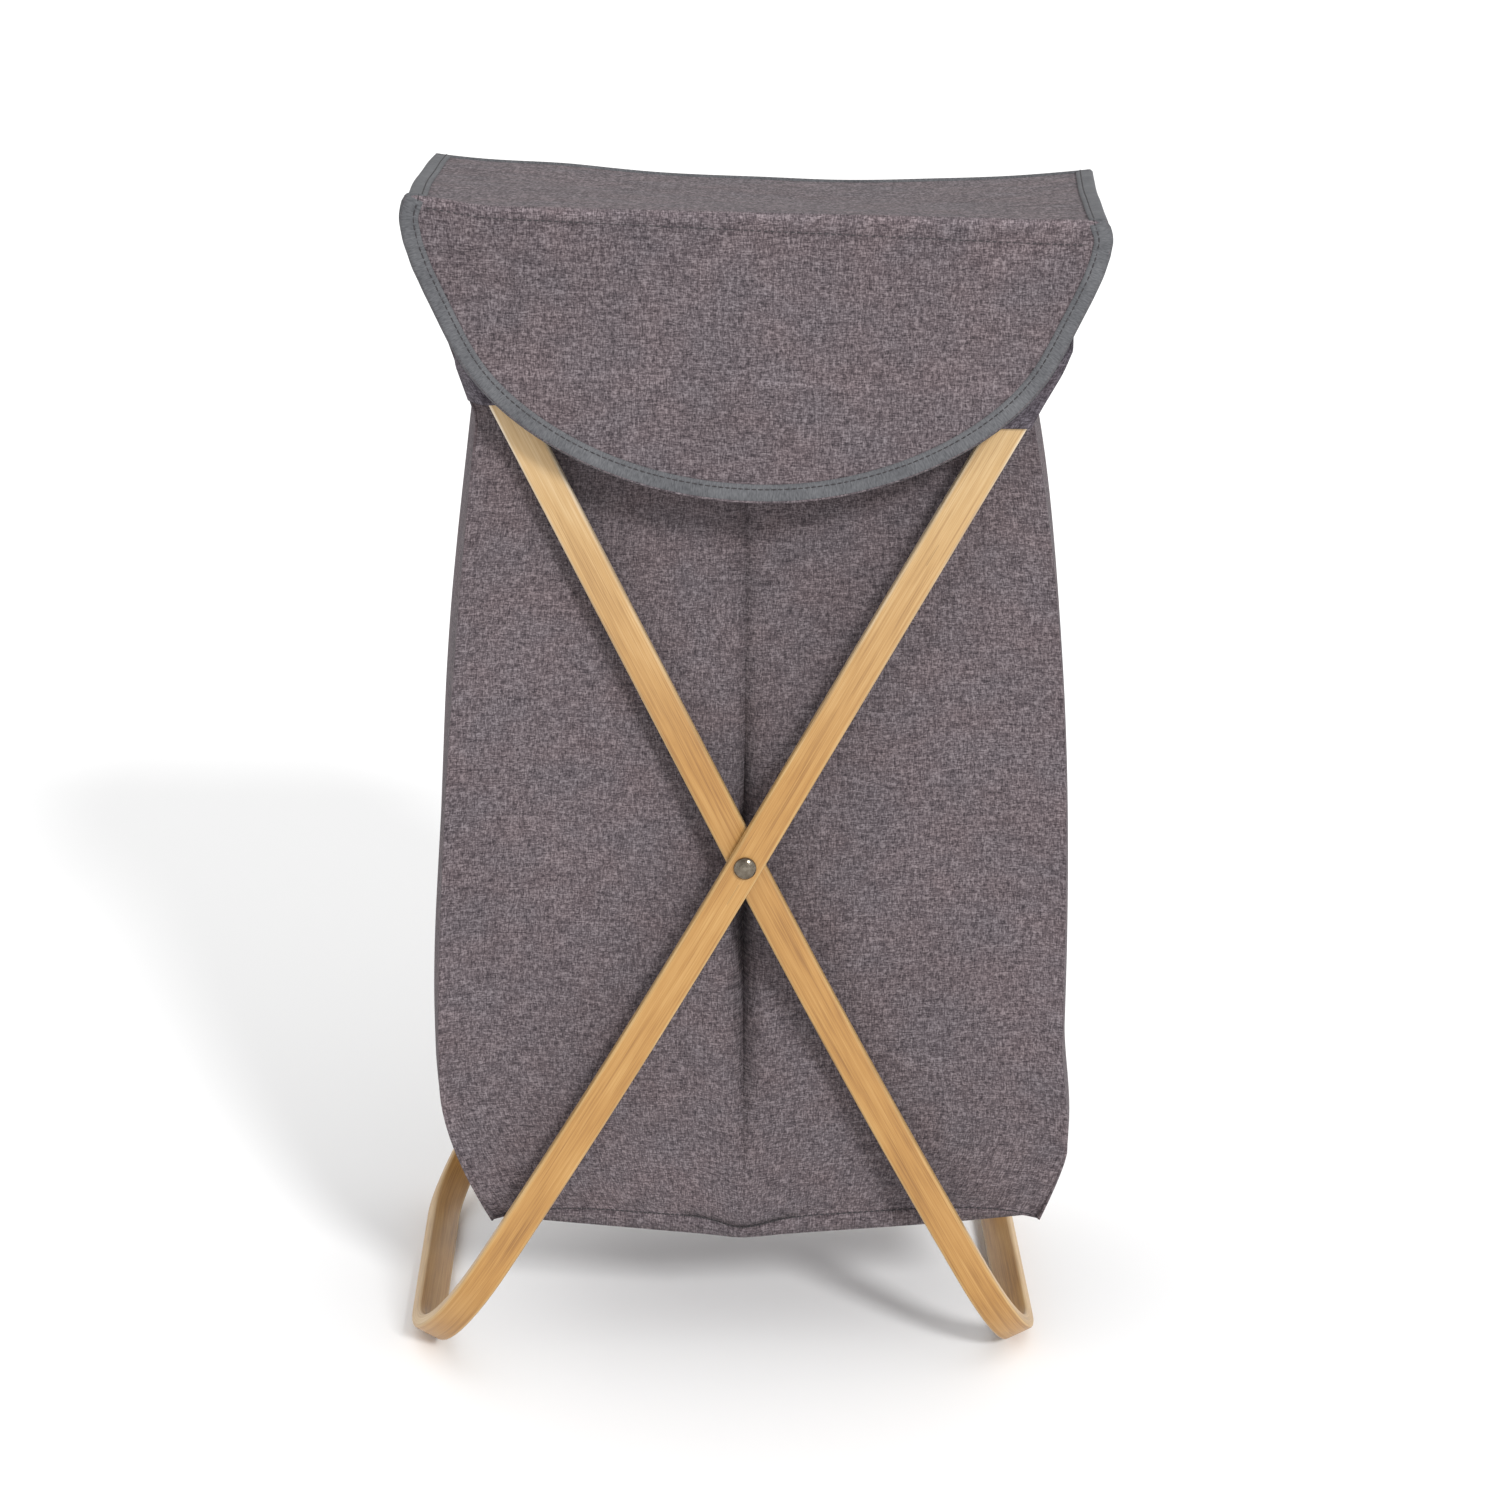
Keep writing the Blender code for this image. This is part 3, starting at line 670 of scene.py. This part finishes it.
def bagPoint(across, deep, up, wall, out=0.0):
    # across and deep run from -1 to 1 over the bag, up from 0 at the bottom seam to 1 at the rim
    away = 1 - abs(across) ** 6
    lip = bag["lip"] * away * (1 - 0.4 * hump(across, 0, 0.12))
    bottom = bag["bottomZ"] - bag["drop"] * away - bag["sag"] * (1 - abs(across) ** 1.4) + lip
    z = bottom + (rimHeight(across, deep) - bottom) * up
    half = bagHalfWidth(z - lip * (1 - up), across) - bag["seamInset"]
    x, y = across * half, deep * bagDepth
    corner = min(1.0, abs(across)) ** 24 * abs(deep) ** 24
    body = ease(0.0, 0.10, up) * (1 - 0.6 * ease(0.86, 1.0, up))
    y *= 1 - 0.09 * (1 - ease(0.0, 0.22, up)) ** 2 * (1 - 0.5 * across**4)
    if wall in ("front", "rear"):
        side = -1 if wall == "front" else 1
        shape = (1 - across**4) * 0.0022 * body
        spread = abs(x)
        crease = bag["fold"] * math.exp(-spread / 0.004) + 0.002 * math.exp(-spread / 0.02)
        crease *= ease(0.02, 0.2, up)
        dent = bag["foldDeep"] * math.exp(-spread / 0.0055) + 0.005 * math.exp(-spread / 0.03)
        crease += hump(z, bag["foldDeepZ"], 0.085) * dent
        valley = bag["valley"] * clamp(1 - spread / 0.15) ** 1.2 * body
        ripple = bag["ripple"] * wander(x, side, z * 0.5, 0.06, 1.3) * body * (1 - abs(across) ** 6)
        bite = bag["bite"] * math.exp(-up * 70.0)
        y += side * (shape - crease - valley + ripple - bite)
    if wall in ("left", "right"):
        side = -1 if wall == "left" else 1
        belly = bag["seamInset"] * (1 - abs(deep) ** 5) + 0.003 * (1 - deep**2) * body
        ripple = bag["sideRipple"] * wander(side, y, z * 0.5, 0.07, 4.1) * body * (1 - deep**4)
        fold = bag["sideFold"] * math.exp(-abs(deep) / 0.10) * ease(0.02, 0.35, up)
        x += side * (belly + ripple - fold)
    if wall == "bottom":
        edge = (1 - abs(deep)) * bagDepth  # distance in from the seam
        angle = clamp(edge / bag["lipRoll"]) * math.pi
        z -= lip * (1 - math.cos(angle)) / 2
        pulled = bag["bite"] * (1 - math.sin(angle) * 1.12)
        y -= math.copysign(pulled, deep) if abs(deep) > 0.02 else 0.0
        z += 0.002 * wander(x, y, 0.0, 0.08, 7.7) * (1 - deep**4) * (1 - across**4)
    push = bag["cornerPush"] * corner
    x += math.copysign(push, across)
    y += math.copysign(push, deep)
    if out:
        x += math.copysign(out, across) * (wall in ("left", "right") or abs(across) > 0.999)
        y += math.copysign(out, deep) * (wall in ("front", "rear") or abs(deep) > 0.999)
    return Vector((x, y, z))


def crowd(value):
    # gathers grid lines towards -1, 0 and 1, where the creases and seams are
    return math.copysign((1 - math.cos(math.pi * abs(value))) / 2, value)


def crowdEnds(value):
    return math.sin(value * math.pi / 2)


walls = {
    "front": lambda a, b: (crowd(a), -1.0, (b + 1) / 2),
    "rear": lambda a, b: (-crowd(a), 1.0, (b + 1) / 2),
    "right": lambda a, b: (1.0, crowdEnds(a), (b + 1) / 2),
    "left": lambda a, b: (-1.0, -crowdEnds(a), (b + 1) / 2),
    "bottom": lambda a, b: (crowd(a), -crowdEnds(b), 0.0),
}


def makeBagShell(names, low, high, rows, out):
    bm = bmesh.new()
    layer = bm.loops.layers.uv.verify()
    flatArea = 0.0
    for order, wall in enumerate(names):
        columns = bag["columns"] if wall in ("front", "rear", "bottom") else bag["deepColumns"]
        lines = bag["deepColumns"] if wall == "bottom" else rows
        grid = bmesh.ops.create_grid(bm, x_segments=columns, y_segments=lines, size=1.0)["verts"]
        wide = 2 * (bagDepth if wall in ("left", "right") else bagWide)
        long = 2 * bagDepth if wall == "bottom" else bagTall * (high - low)
        for face in {face for vert in grid for face in vert.link_faces}:
            for loop in face.loops:
                across, deep, up = walls[wall](*loop.vert.co.xy)
                flatX = (deep if wall in ("left", "right") else across) * wide / 2
                flatY = deep * bagDepth if wall == "bottom" else bagTall * (low + (high - low) * up)
                loop[layer].uv = (flatX + order * 0.5, flatY)
        for vert in grid:
            across, deep, up = walls[wall](vert.co.x, vert.co.y)
            vert.co = bagPoint(across, deep, low + (high - low) * up, wall, out)
        flatArea += wide * long
    meltDoubles(bm)
    bmesh.ops.recalc_face_normals(bm, faces=bm.faces)
    return bm, flatArea


def solidCloth(piece, thickness):
    modifier = piece.modifiers.new("cloth", "SOLIDIFY")
    modifier.thickness = thickness
    modifier.offset = -1.0
    modifier.use_even_offset = False
    graph = bpy.context.evaluated_depsgraph_get()
    finished = bpy.data.meshes.new_from_object(piece.evaluated_get(graph))
    piece.modifiers.clear()
    piece.data = finished


def outwardFrom(bm, centre):
    # a wall with an open top keeps its faces pointing away from the middle
    total = 0.0
    for face in bm.faces:
        total += (face.calc_center_median() - centre).dot(face.normal) * face.calc_area()
    if total < 0:
        bmesh.ops.reverse_faces(bm, faces=bm.faces[:])


bm, bagFlat = makeBagShell(("front", "right", "rear", "left", "bottom"), 0.0, 1.0, bag["rows"], 0.0)
outwardFrom(bm, middleOfBag)
bagShell = newObject("bag_cloth", bm, linenCloth, "bag", outward=False)
solidCloth(bagShell, bag["cloth"])
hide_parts(*[f"bag_{wall}_panel" for wall in ("front", "rear", "left", "right", "bottom")])
squashWithFold(bagShell)

hemShare = bag["hem"] / bagTall
hemWalls = ("front", "right", "rear", "left")
bm, hemFlat = makeBagShell(hemWalls, 1 - hemShare, 1.0005, bag["hemRows"], bag["hemOut"])
outwardFrom(bm, middleOfBag)
hem = newObject("bag_hem", bm, linenCloth, "bag", outward=False)
solidCloth(hem, bag["hemCloth"])
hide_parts("front_rim_hem", "rear_rim_hem", "left_rim_hem", "right_rim_hem")
squashWithFold(hem)
print("bag made")


# stitches: a row of short fat threads laid along a line

stitch = {
    "length": 0.0031,
    "gap": 0.0004,
    "half": 0.00042,
    "seamHalf": 0.00048,
    "bottomHalf": 0.0006,
    "fromEdge": 0.0076,  # how far the rows run inside the lid's and the flap's edges
    "seamDrop": 0.0088,  # from the ridge down to the seam in the flap
    "seamTilt": 0.004,
    "seamWide": 0.344,
}


def makeStitches(name, rows, body, half=stitch["half"]):
    bm = bmesh.new()
    for points in rows:
        for start, end, normal in points:
            along = (end - start).normalized()
            side = along.cross(normal).normalized()
            up = side.cross(along)
            grip = Matrix((along, side, up)).transposed().to_4x4()
            grip.translation = (start + end) / 2
            size = Matrix.Diagonal(((end - start).length / 2, half, half * 0.6, 1))
            bmesh.ops.create_uvsphere(bm, u_segments=6, v_segments=4, radius=1.0, matrix=grip @ size)
    piece = newObject(name, bm, darkThread, body)
    squashWithFold(piece)


def walkStitches(place, total):
    # place(distance) gives a point and its normal: stitches are laid from one end to the other
    row, distance = [], 0.0
    while distance + stitch["length"] < total:
        start, normal = place(distance)
        end = place(distance + stitch["length"])[0]
        row.append((start, end, normal))
        distance += stitch["length"] + stitch["gap"]
    return row


# lid: flat cut first, x across and d down from the ridge, then bent over the ridge and let hang

lid = {
    "ridgeRadius": 0.0024,
    "halfRidge": 0.1870,
    "halfRear": 0.196,
    "drop": 0.1522,  # from the ridge to the lowest point of the flap
    "pullIn": 0.0048,
    "tape": 0.0102,
    "cloth": 0.0022,
    "tapeProud": 0.0006,
    "tapeLines": 6,
    "shift": 0.0044,  # the lid sits to the right of the frame, more so at the rear
    "rearShift": 0.0145,
    "rearDrop": 0.0225,
    "cornerDrop": 0.0115,  # the rear corners drop this much less
    "rearTilt": 0.0022,
    "rearLeftDrop": 0.0045,
    "sag": 0.0045,
    "sideIn": 0.0035,
    "ridgeRise": 0.0015,
    "ridgeTilt": 0.0040,  # the ridge falls away to the right
    "leftLift": 0.005,  # and kicks up at its left end
    "swing": 0.0055,  # the flap hangs forward below the ridge
    "ripple": 0.0016,
    "topRipple": 0.0011,
    "crease": 0.0013,  # old fold across the flap
    "creaseAt": 0.083,
    "pucker": 0.0011,  # small pulls where the ends of the ridge are sewn
    "puckerEvery": 0.0135,
    "seamPull": 0.0016,
    "curl": 0.004,
    "narrow": 0.0040,  # the ridge is this much shorter on each side than the flap just below it
    "overlap": 0.0022,  # the flap's top edge lies on the lid past the ridge
    "edgeIn": 0.0012,  # the cloth stops inside the folded tape
    "columns": 84,
    "flapRows": 130,
    "lidRows": 60,
}
ridgeArc = lid["ridgeRadius"] * math.pi / 2
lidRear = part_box("lid_binding")[1].y + 0.002
lidDepth = lidRear - flapHinge.y


def flapHalf(d):
    share = clamp(d / lid["drop"])
    half = lid["halfRidge"] * math.sqrt(max(0.0, 1 - share**2))
    half -= lid["pullIn"] * hump(d, 0.058, 0.030)
    return half - lid["narrow"] * (1 - clamp(d / 0.014)) ** 2


def seamLine(x):
    return stitch["seamDrop"] + stitch["seamTilt"] * (x / 0.18)


def lidPoint(x, d, lift):
    # where a point of the flat cut ends up, lift metres above the cloth
    radius, half = lid["ridgeRadius"], ridgeArc / 2
    turn = clamp(d / radius, -math.pi / 4, math.pi / 4) + math.pi / 4
    normal = Vector((0, -math.sin(turn), math.cos(turn)))
    spot = flapHinge + Vector((x, 0, 0)) + normal * (radius + lift)
    below, behind = max(0.0, d - half), max(0.0, -d - half)
    spot.z -= below
    spot.y += behind
    share = clamp(behind / lidDepth)
    corner = abs(x) / lid["halfRear"]
    # the top of the lid slopes to the rear and sags between its sides
    rearDrop = lid["rearDrop"] - lid["cornerDrop"] * corner**2.2 + lid["rearTilt"] * x / lid["halfRear"]
    rearDrop += lid["rearLeftDrop"] * ease(0.55, 1.0, -x / lid["halfRear"])
    spot.z -= rearDrop * share**1.25
    spot.z -= lid["sag"] * math.sin(math.pi * share) * (1 - corner**2) * (share < 1)
    spot.z += lid["ridgeRise"] - lid["ridgeTilt"] * (x / lid["halfRidge"])
    spot.x += lid["shift"] + (lid["rearShift"] - lid["shift"]) * share
    spot.x -= lid["sideIn"] * math.sin(math.pi * share) * ease(0.6, 1.0, -x / lid["halfRear"])
    # the flap swings out, with its old fold, its puckers and the seam drawn in
    swing = lid["swing"] * ease(0.03, 0.15, below) - 0.0018 * hump(below, 0.045, 0.03)
    swing += lid["ripple"] * wander(x, 0.3, below, 0.085, 2.2) * ease(0.0, 0.04, below)
    crease = lid["crease"] * math.exp(-abs(below - lid["creaseAt"] - linen["creaseSlant"] * x) / 0.004)
    crease *= 1 - ease(0.10, 0.14, abs(x))
    pulled = ease(0.35, 0.95, -x / lid["halfRidge"]) + 0.4 * ease(0.6, 1.0, x / lid["halfRidge"])
    wave = math.sin(below * math.tau / lid["puckerEvery"] + 6 * x)
    swing += lid["pucker"] * pulled * wave * hump(below, 0.024, 0.018)
    swing -= lid["seamPull"] * hump(below, seamLine(x), 0.0018)
    curl = lid["curl"] * ease(0.75, 1.0, abs(x) / lid["halfRidge"]) * hump(below, 0.03, 0.04)
    spot.y -= swing + crease - curl
    spot.z += lid["topRipple"] * wander(x, behind, 0.1, 0.07, 5.5) * ease(0.0, 0.05, behind)
    lifted = ease(0.70, 1.0, -x / lid["halfRidge"]) * math.exp(-(below + behind) / 0.02)
    spot.z += lid["leftLift"] * lifted
    return spot


def flapOutline(share):
    # from the ridge's left end down, along the bottom and up to its right end
    angle = math.pi * share
    top = -lid["overlap"] - ridgeArc / 2
    d = top + (lid["drop"] - top) * math.sin(angle)
    return Vector((-math.copysign(flapHalf(max(d, 0.0)), math.cos(angle)), d))


def topOutline(share):
    # from the ridge's right end back along the side, across the rear and forward to the ridge
    side, rear = lidDepth, 2 * lid["halfRear"]
    total = 2 * side + rear
    distance = share * total
    if distance < side:
        back = distance / side
        return Vector((lidHalf(back), -ridgeArc / 2 - back * lidDepth))
    if distance < side + rear:
        across = (distance - side) / rear
        return Vector((lidHalf(1.0) * (1 - 2 * across), -ridgeArc / 2 - lidDepth))
    back = 1 - (distance - side - rear) / side
    return Vector((-lidHalf(back), -ridgeArc / 2 - back * lidDepth))


def lidHalf(back):
    ridge = lid["halfRidge"] - lid["narrow"]
    return ridge + (lid["halfRear"] - ridge) * back - 0.0012 * math.sin(math.pi * back)


def rowOf(outline, count, inset):
    # evenly stepped points along an outline, moved in by inset
    points = [outline(step / count) for step in range(count + 1)]
    moved = []
    for index, point in enumerate(points):
        before, after = points[max(index - 1, 0)], points[min(index + 1, count)]
        along = (after - before).normalized()
        moved.append(point + Vector((along.y, -along.x)) * inset)
    return moved


def makeTapeBand(name, outline, count, body):
    # the tape is a slab round the edge, rounded outside, bent by the same rule as the cloth
    bm = bmesh.new()
    lines = lid["tapeLines"]
    bmesh.ops.create_grid(bm, x_segments=count, y_segments=lines, size=1.0)
    layer = bm.loops.layers.uv.verify()
    rows = [rowOf(outline, count, lid["tape"] * line / lines) for line in range(lines + 1)]
    length = sum((b - a).length for a, b in zip(rows[0], rows[0][1:]))
    for face in bm.faces:
        for loop in face.loops:
            a, b = loop.vert.co.xy
            loop[layer].uv = ((a + 1) / 2 * length, (b + 1) / 2 * lid["tape"])
    for vert in bm.verts:
        column, line = round((vert.co.x + 1) / 2 * count), round((vert.co.y + 1) / 2 * lines)
        flat = rows[line][column]
        vert.co = (flat.x, flat.y, line / lines)
    under = set(secondLayer(bm))
    thick = lid["cloth"] + 2 * lid["tapeProud"]
    for vert in bm.verts:
        line = vert.co.z
        bulge = math.sqrt(clamp(line * lines / 1.2))  # the folded outer edge is round
        dip = 0.25 * hump(line, stitch["fromEdge"] / lid["tape"], 0.08)
        high = (0.5 + 0.5 * bulge) * thick - lid["tapeProud"] * dip
        lift = lid["tapeProud"] - thick + high if vert not in under else lid["tapeProud"] - high
        vert.co = lidPoint(vert.co.x, vert.co.y, lift)
    meltDoubles(bm, 1e-6)
    band = newObject(name, bm, bindingTape, body)
    squashWithFold(band)
    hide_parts(body + "_binding")


def makeFlapCloth():
    bm = bmesh.new()
    bmesh.ops.create_grid(bm, x_segments=lid["columns"], y_segments=lid["flapRows"], size=1.0)
    top = -lid["overlap"] - ridgeArc / 2
    rise = lid["drop"] - top
    for vert in bm.verts:
        share = (1 - vert.co.y) / 2
        d = top + rise * (0.45 * share + 0.55 * math.sin(share * math.pi / 2))
        half = max(0.0, flapHalf(max(d, 0.0)) - lid["edgeIn"])
        vert.co = (vert.co.x * half, -d, 0)
    meltDoubles(bm)
    layWeave(bm)
    area = sum(face.calc_area() for face in bm.faces)
    thicken(bm, lid["cloth"])
    for vert in bm.verts:
        vert.co = lidPoint(vert.co.x, -vert.co.y, vert.co.z)
    flap = newObject("flap_cloth", bm, flapLinen, "flap")
    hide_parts("lid_front_flap", "flap_lining")
    squashWithFold(flap)


def makeLidCloth():
    bm = bmesh.new()
    bmesh.ops.create_grid(bm, x_segments=lid["columns"], y_segments=lid["lidRows"], size=1.0)
    inside = lid["edgeIn"]
    for vert in bm.verts:
        back = (vert.co.y + 1) / 2
        vert.co = (vert.co.x * (lidHalf(back) - inside), ridgeArc / 2 + back * (lidDepth - inside), 0)
    layWeave(bm)
    area = sum(face.calc_area() for face in bm.faces)
    thicken(bm, lid["cloth"])
    for vert in bm.verts:
        vert.co = lidPoint(vert.co.x, -vert.co.y, vert.co.z - 0.0004)
    top = newObject("lid_cloth", bm, topLinen, "lid")
    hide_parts("lid_top_panel", "lid_lining")
    squashWithFold(top)


makeFlapCloth()
makeLidCloth()
makeTapeBand("flap_tape", flapOutline, 220, "flap")
makeTapeBand("lid_tape", topOutline, 260, "lid")
print("lid made")


def outlineStitches(outline, count=1400):
    # stitches at equal distances along an inset outline
    points = rowOf(outline, count, stitch["fromEdge"])
    lengths = [0.0]
    for a, b in zip(points, points[1:]):
        lengths.append(lengths[-1] + (b - a).length)

    def place(distance):
        flat = points[bisect.bisect_left(lengths, distance, 0, count)]
        spot = lidPoint(flat.x, flat.y, lid["tapeProud"] - 0.00005)
        lifted = lidPoint(flat.x, flat.y, lid["tapeProud"] + 0.001)
        return spot, (lifted - spot).normalized()

    return walkStitches(place, lengths[-1])


def seamPlace(distance):
    x = distance - stitch["seamWide"] / 2
    return lidPoint(x, seamLine(x), -0.0002), Vector((0, -1, 0))


def bottomSeam(depth):
    # a dark row of thread tucked into the fold along the bottom, at the front or the rear
    wall = "front" if depth < 0 else "rear"

    def place(distance):
        across = (distance / bagWide - 1) * 0.985
        return bagPoint(across, depth, 0.0, wall, 0.0003), Vector((0, depth, 0))

    return walkStitches(place, 2 * bagWide)


seamRow = walkStitches(seamPlace, stitch["seamWide"])
bottomRows = [bottomSeam(-1.0), bottomSeam(1.0)]
makeStitches("flap_stitching", [outlineStitches(flapOutline)], "flap")
makeStitches("ridge_seam_stitching", [seamRow], "flap", stitch["seamHalf"])
makeStitches("lid_stitching", [outlineStitches(topOutline)], "lid")
makeStitches("bottom_seam_stitching", bottomRows, "bag", stitch["bottomHalf"])
print("stitches made")


# pockets: cloth sleeves drawn over the four leg tips, sewn down beside them

pocket = {
    "besideLeg": 0.002,
    "besideShare": 0.34,  # shares of the cloth that lie before and on the leg
    "legShare": 0.40,
    "leftRise": 0.010,
    "close": 0.010,  # closes over the leg tip from here below its top
    "closeLength": 0.008,
    "tuck": 0.005,
    "clearance": 0.0008,
    "cloth": 0.0011,
    "columns": 40,
    "rows": 44,
}


def makePocket(node, body, side, depthSide, loopNode):
    # side is +1 for the leg that leans right, depthSide -1 at the front
    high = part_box(node)[1]
    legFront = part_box(loopNode)[1].y
    lean = findLean(loopNode)
    half = loopShape["width"] / 2 / math.cos(lean) + pocket["clearance"]
    outside = legFront + pocket["clearance"] + pocket["cloth"]
    bagFace = bagDepth + 0.0012
    tipZ = high.z - pocket["close"]
    topZ = tipZ + pocket["closeLength"]
    mouthZ = neckZ + (pocket["leftRise"] if side < 0 else 0.0)
    onLeg = pocket["besideShare"]
    offLeg = onLeg + pocket["legShare"]
    bm = bmesh.new()
    bmesh.ops.create_grid(bm, x_segments=pocket["columns"], y_segments=pocket["rows"], size=0.5)
    wide = pocket["besideLeg"] + 2 * half + 2 * (outside - bagFace)
    for vert in bm.verts:
        vert.co.x, vert.co.y = (vert.co.x + 0.5) * wide, (vert.co.y + 0.5) * (topZ - mouthZ)
    layWeave(bm)
    area = sum(face.calc_area() for face in bm.faces)
    for vert in bm.verts:
        share, z = vert.co.x / wide, mouthZ + vert.co.y
        centre = (z - pivot.z) * math.tan(lean)
        puff = bagFace + (outside - bagFace) * (1 - ease(tipZ, topZ, z))
        if share < onLeg:
            part = share / onLeg
            x = centre - half - pocket["besideLeg"] * (1 - part)
            y = bagFace + (puff - bagFace) * ease(0.0, 1.0, part)
        elif share < offLeg:
            x = centre - half + 2 * half * (share - onLeg) / pocket["legShare"]
            y = puff
        else:
            part = (share - offLeg) / (1 - offLeg)
            outer = max(centre + half + 0.0006, bagHalfWidth(z, side) - bag["seamInset"] + 0.0018)
            x = centre + half + (outer - centre - half) * part
            y = puff + (bagFace - puff) * part**1.6
        x -= pocket["tuck"] * ease(tipZ - 0.014, topZ, z) * ease(0.5, 1.0, share)
        vert.co = (side * x, depthSide * y, z)
    bm.normal_update()
    if sum(face.normal.y * depthSide for face in bm.faces) < 0:
        bmesh.ops.reverse_faces(bm, faces=bm.faces[:])
    piece = newObject(node + "_cloth", bm, pocketCloth, body, outward=False)
    solidCloth(piece, pocket["cloth"])
    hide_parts(node)


for place, depthSide in (("front", -1), ("rear", 1)):
    makePocket(place + "_right_pocket", "outer_loop", 1, depthSide, "outer_frame_loop")
    makePocket(place + "_left_pocket", "inner_loop", -1, depthSide, "inner_frame_loop")
print("pockets made")


# floor, lights and camera

stageLook = {
    "floor": (0.94, 0.94, 0.94),
    "floorSize": 9.0,
    "world": 0.98,
    "key": 2.1,
    "keyPlace": (1.25, -2.9, 2.15),
    "keyTarget": (0, 0, 0.35),
    "softness": math.radians(10.0),
}


def makeFloor():
    bm = bmesh.new()
    bmesh.ops.create_grid(bm, x_segments=1, y_segments=1, size=stageLook["floorSize"])
    mesh = bpy.data.meshes.new("studio_floor")
    bm.to_mesh(mesh)
    bm.free()
    floor = bpy.data.objects.new("studio_floor", mesh)
    bpy.context.scene.collection.objects.link(floor)
    material, nodes, links, shader = startMaterial("pale_floor")
    shader.inputs["Base Color"].default_value = (*stageLook["floor"], 1)
    shader.inputs["Roughness"].default_value = 0.9
    mesh.materials.append(material)


def makeLight():
    # a wide lamp a long way off, so that the floor is lit evenly
    light = bpy.data.lights.new("key_light", "SUN")
    light.angle = stageLook["softness"]
    light.energy = stageLook["key"]
    lamp = bpy.data.objects.new("key_light", light)
    place, target = Vector(stageLook["keyPlace"]), Vector(stageLook["keyTarget"])
    lamp.location = place
    lamp.rotation_euler = (target - place).to_track_quat("-Z", "Y").to_euler()
    bpy.context.scene.collection.objects.link(lamp)


def makeWorld():
    world = bpy.data.worlds.new("studio")
    world.use_nodes = True
    background = world.node_tree.nodes["Background"]
    background.inputs["Color"].default_value = (1, 1, 1, 1)
    background.inputs["Strength"].default_value = stageLook["world"]
    bpy.context.scene.world = world
    bpy.context.scene.view_settings.view_transform = "Standard"


view = {
    "place": (-0.036, -2.1495, 0.957),
    "pitch": 0.28324,  # turned down, in radians
    "yaw": 0.01923,
    "roll": 0.00558,
    "lens": 92.1,
    "sensor": 36.0,
}


def makeCamera():
    camera = bpy.data.cameras.new("camera")
    camera.lens = view["lens"]
    camera.sensor_width = view["sensor"]
    camera.clip_end = 30.0
    holder = bpy.data.objects.new("camera", camera)
    turn = Matrix.Rotation(-view["yaw"], 3, "Z") @ Matrix.Rotation(math.pi / 2 - view["pitch"], 3, "X")
    turn = turn @ Matrix.Rotation(view["roll"], 3, "Z")
    holder.location = view["place"]
    holder.rotation_euler = turn.to_euler()
    bpy.context.scene.collection.objects.link(holder)
    bpy.context.scene.camera = holder


makeFloor()
makeWorld()
makeLight()
makeCamera()
print("stage made")
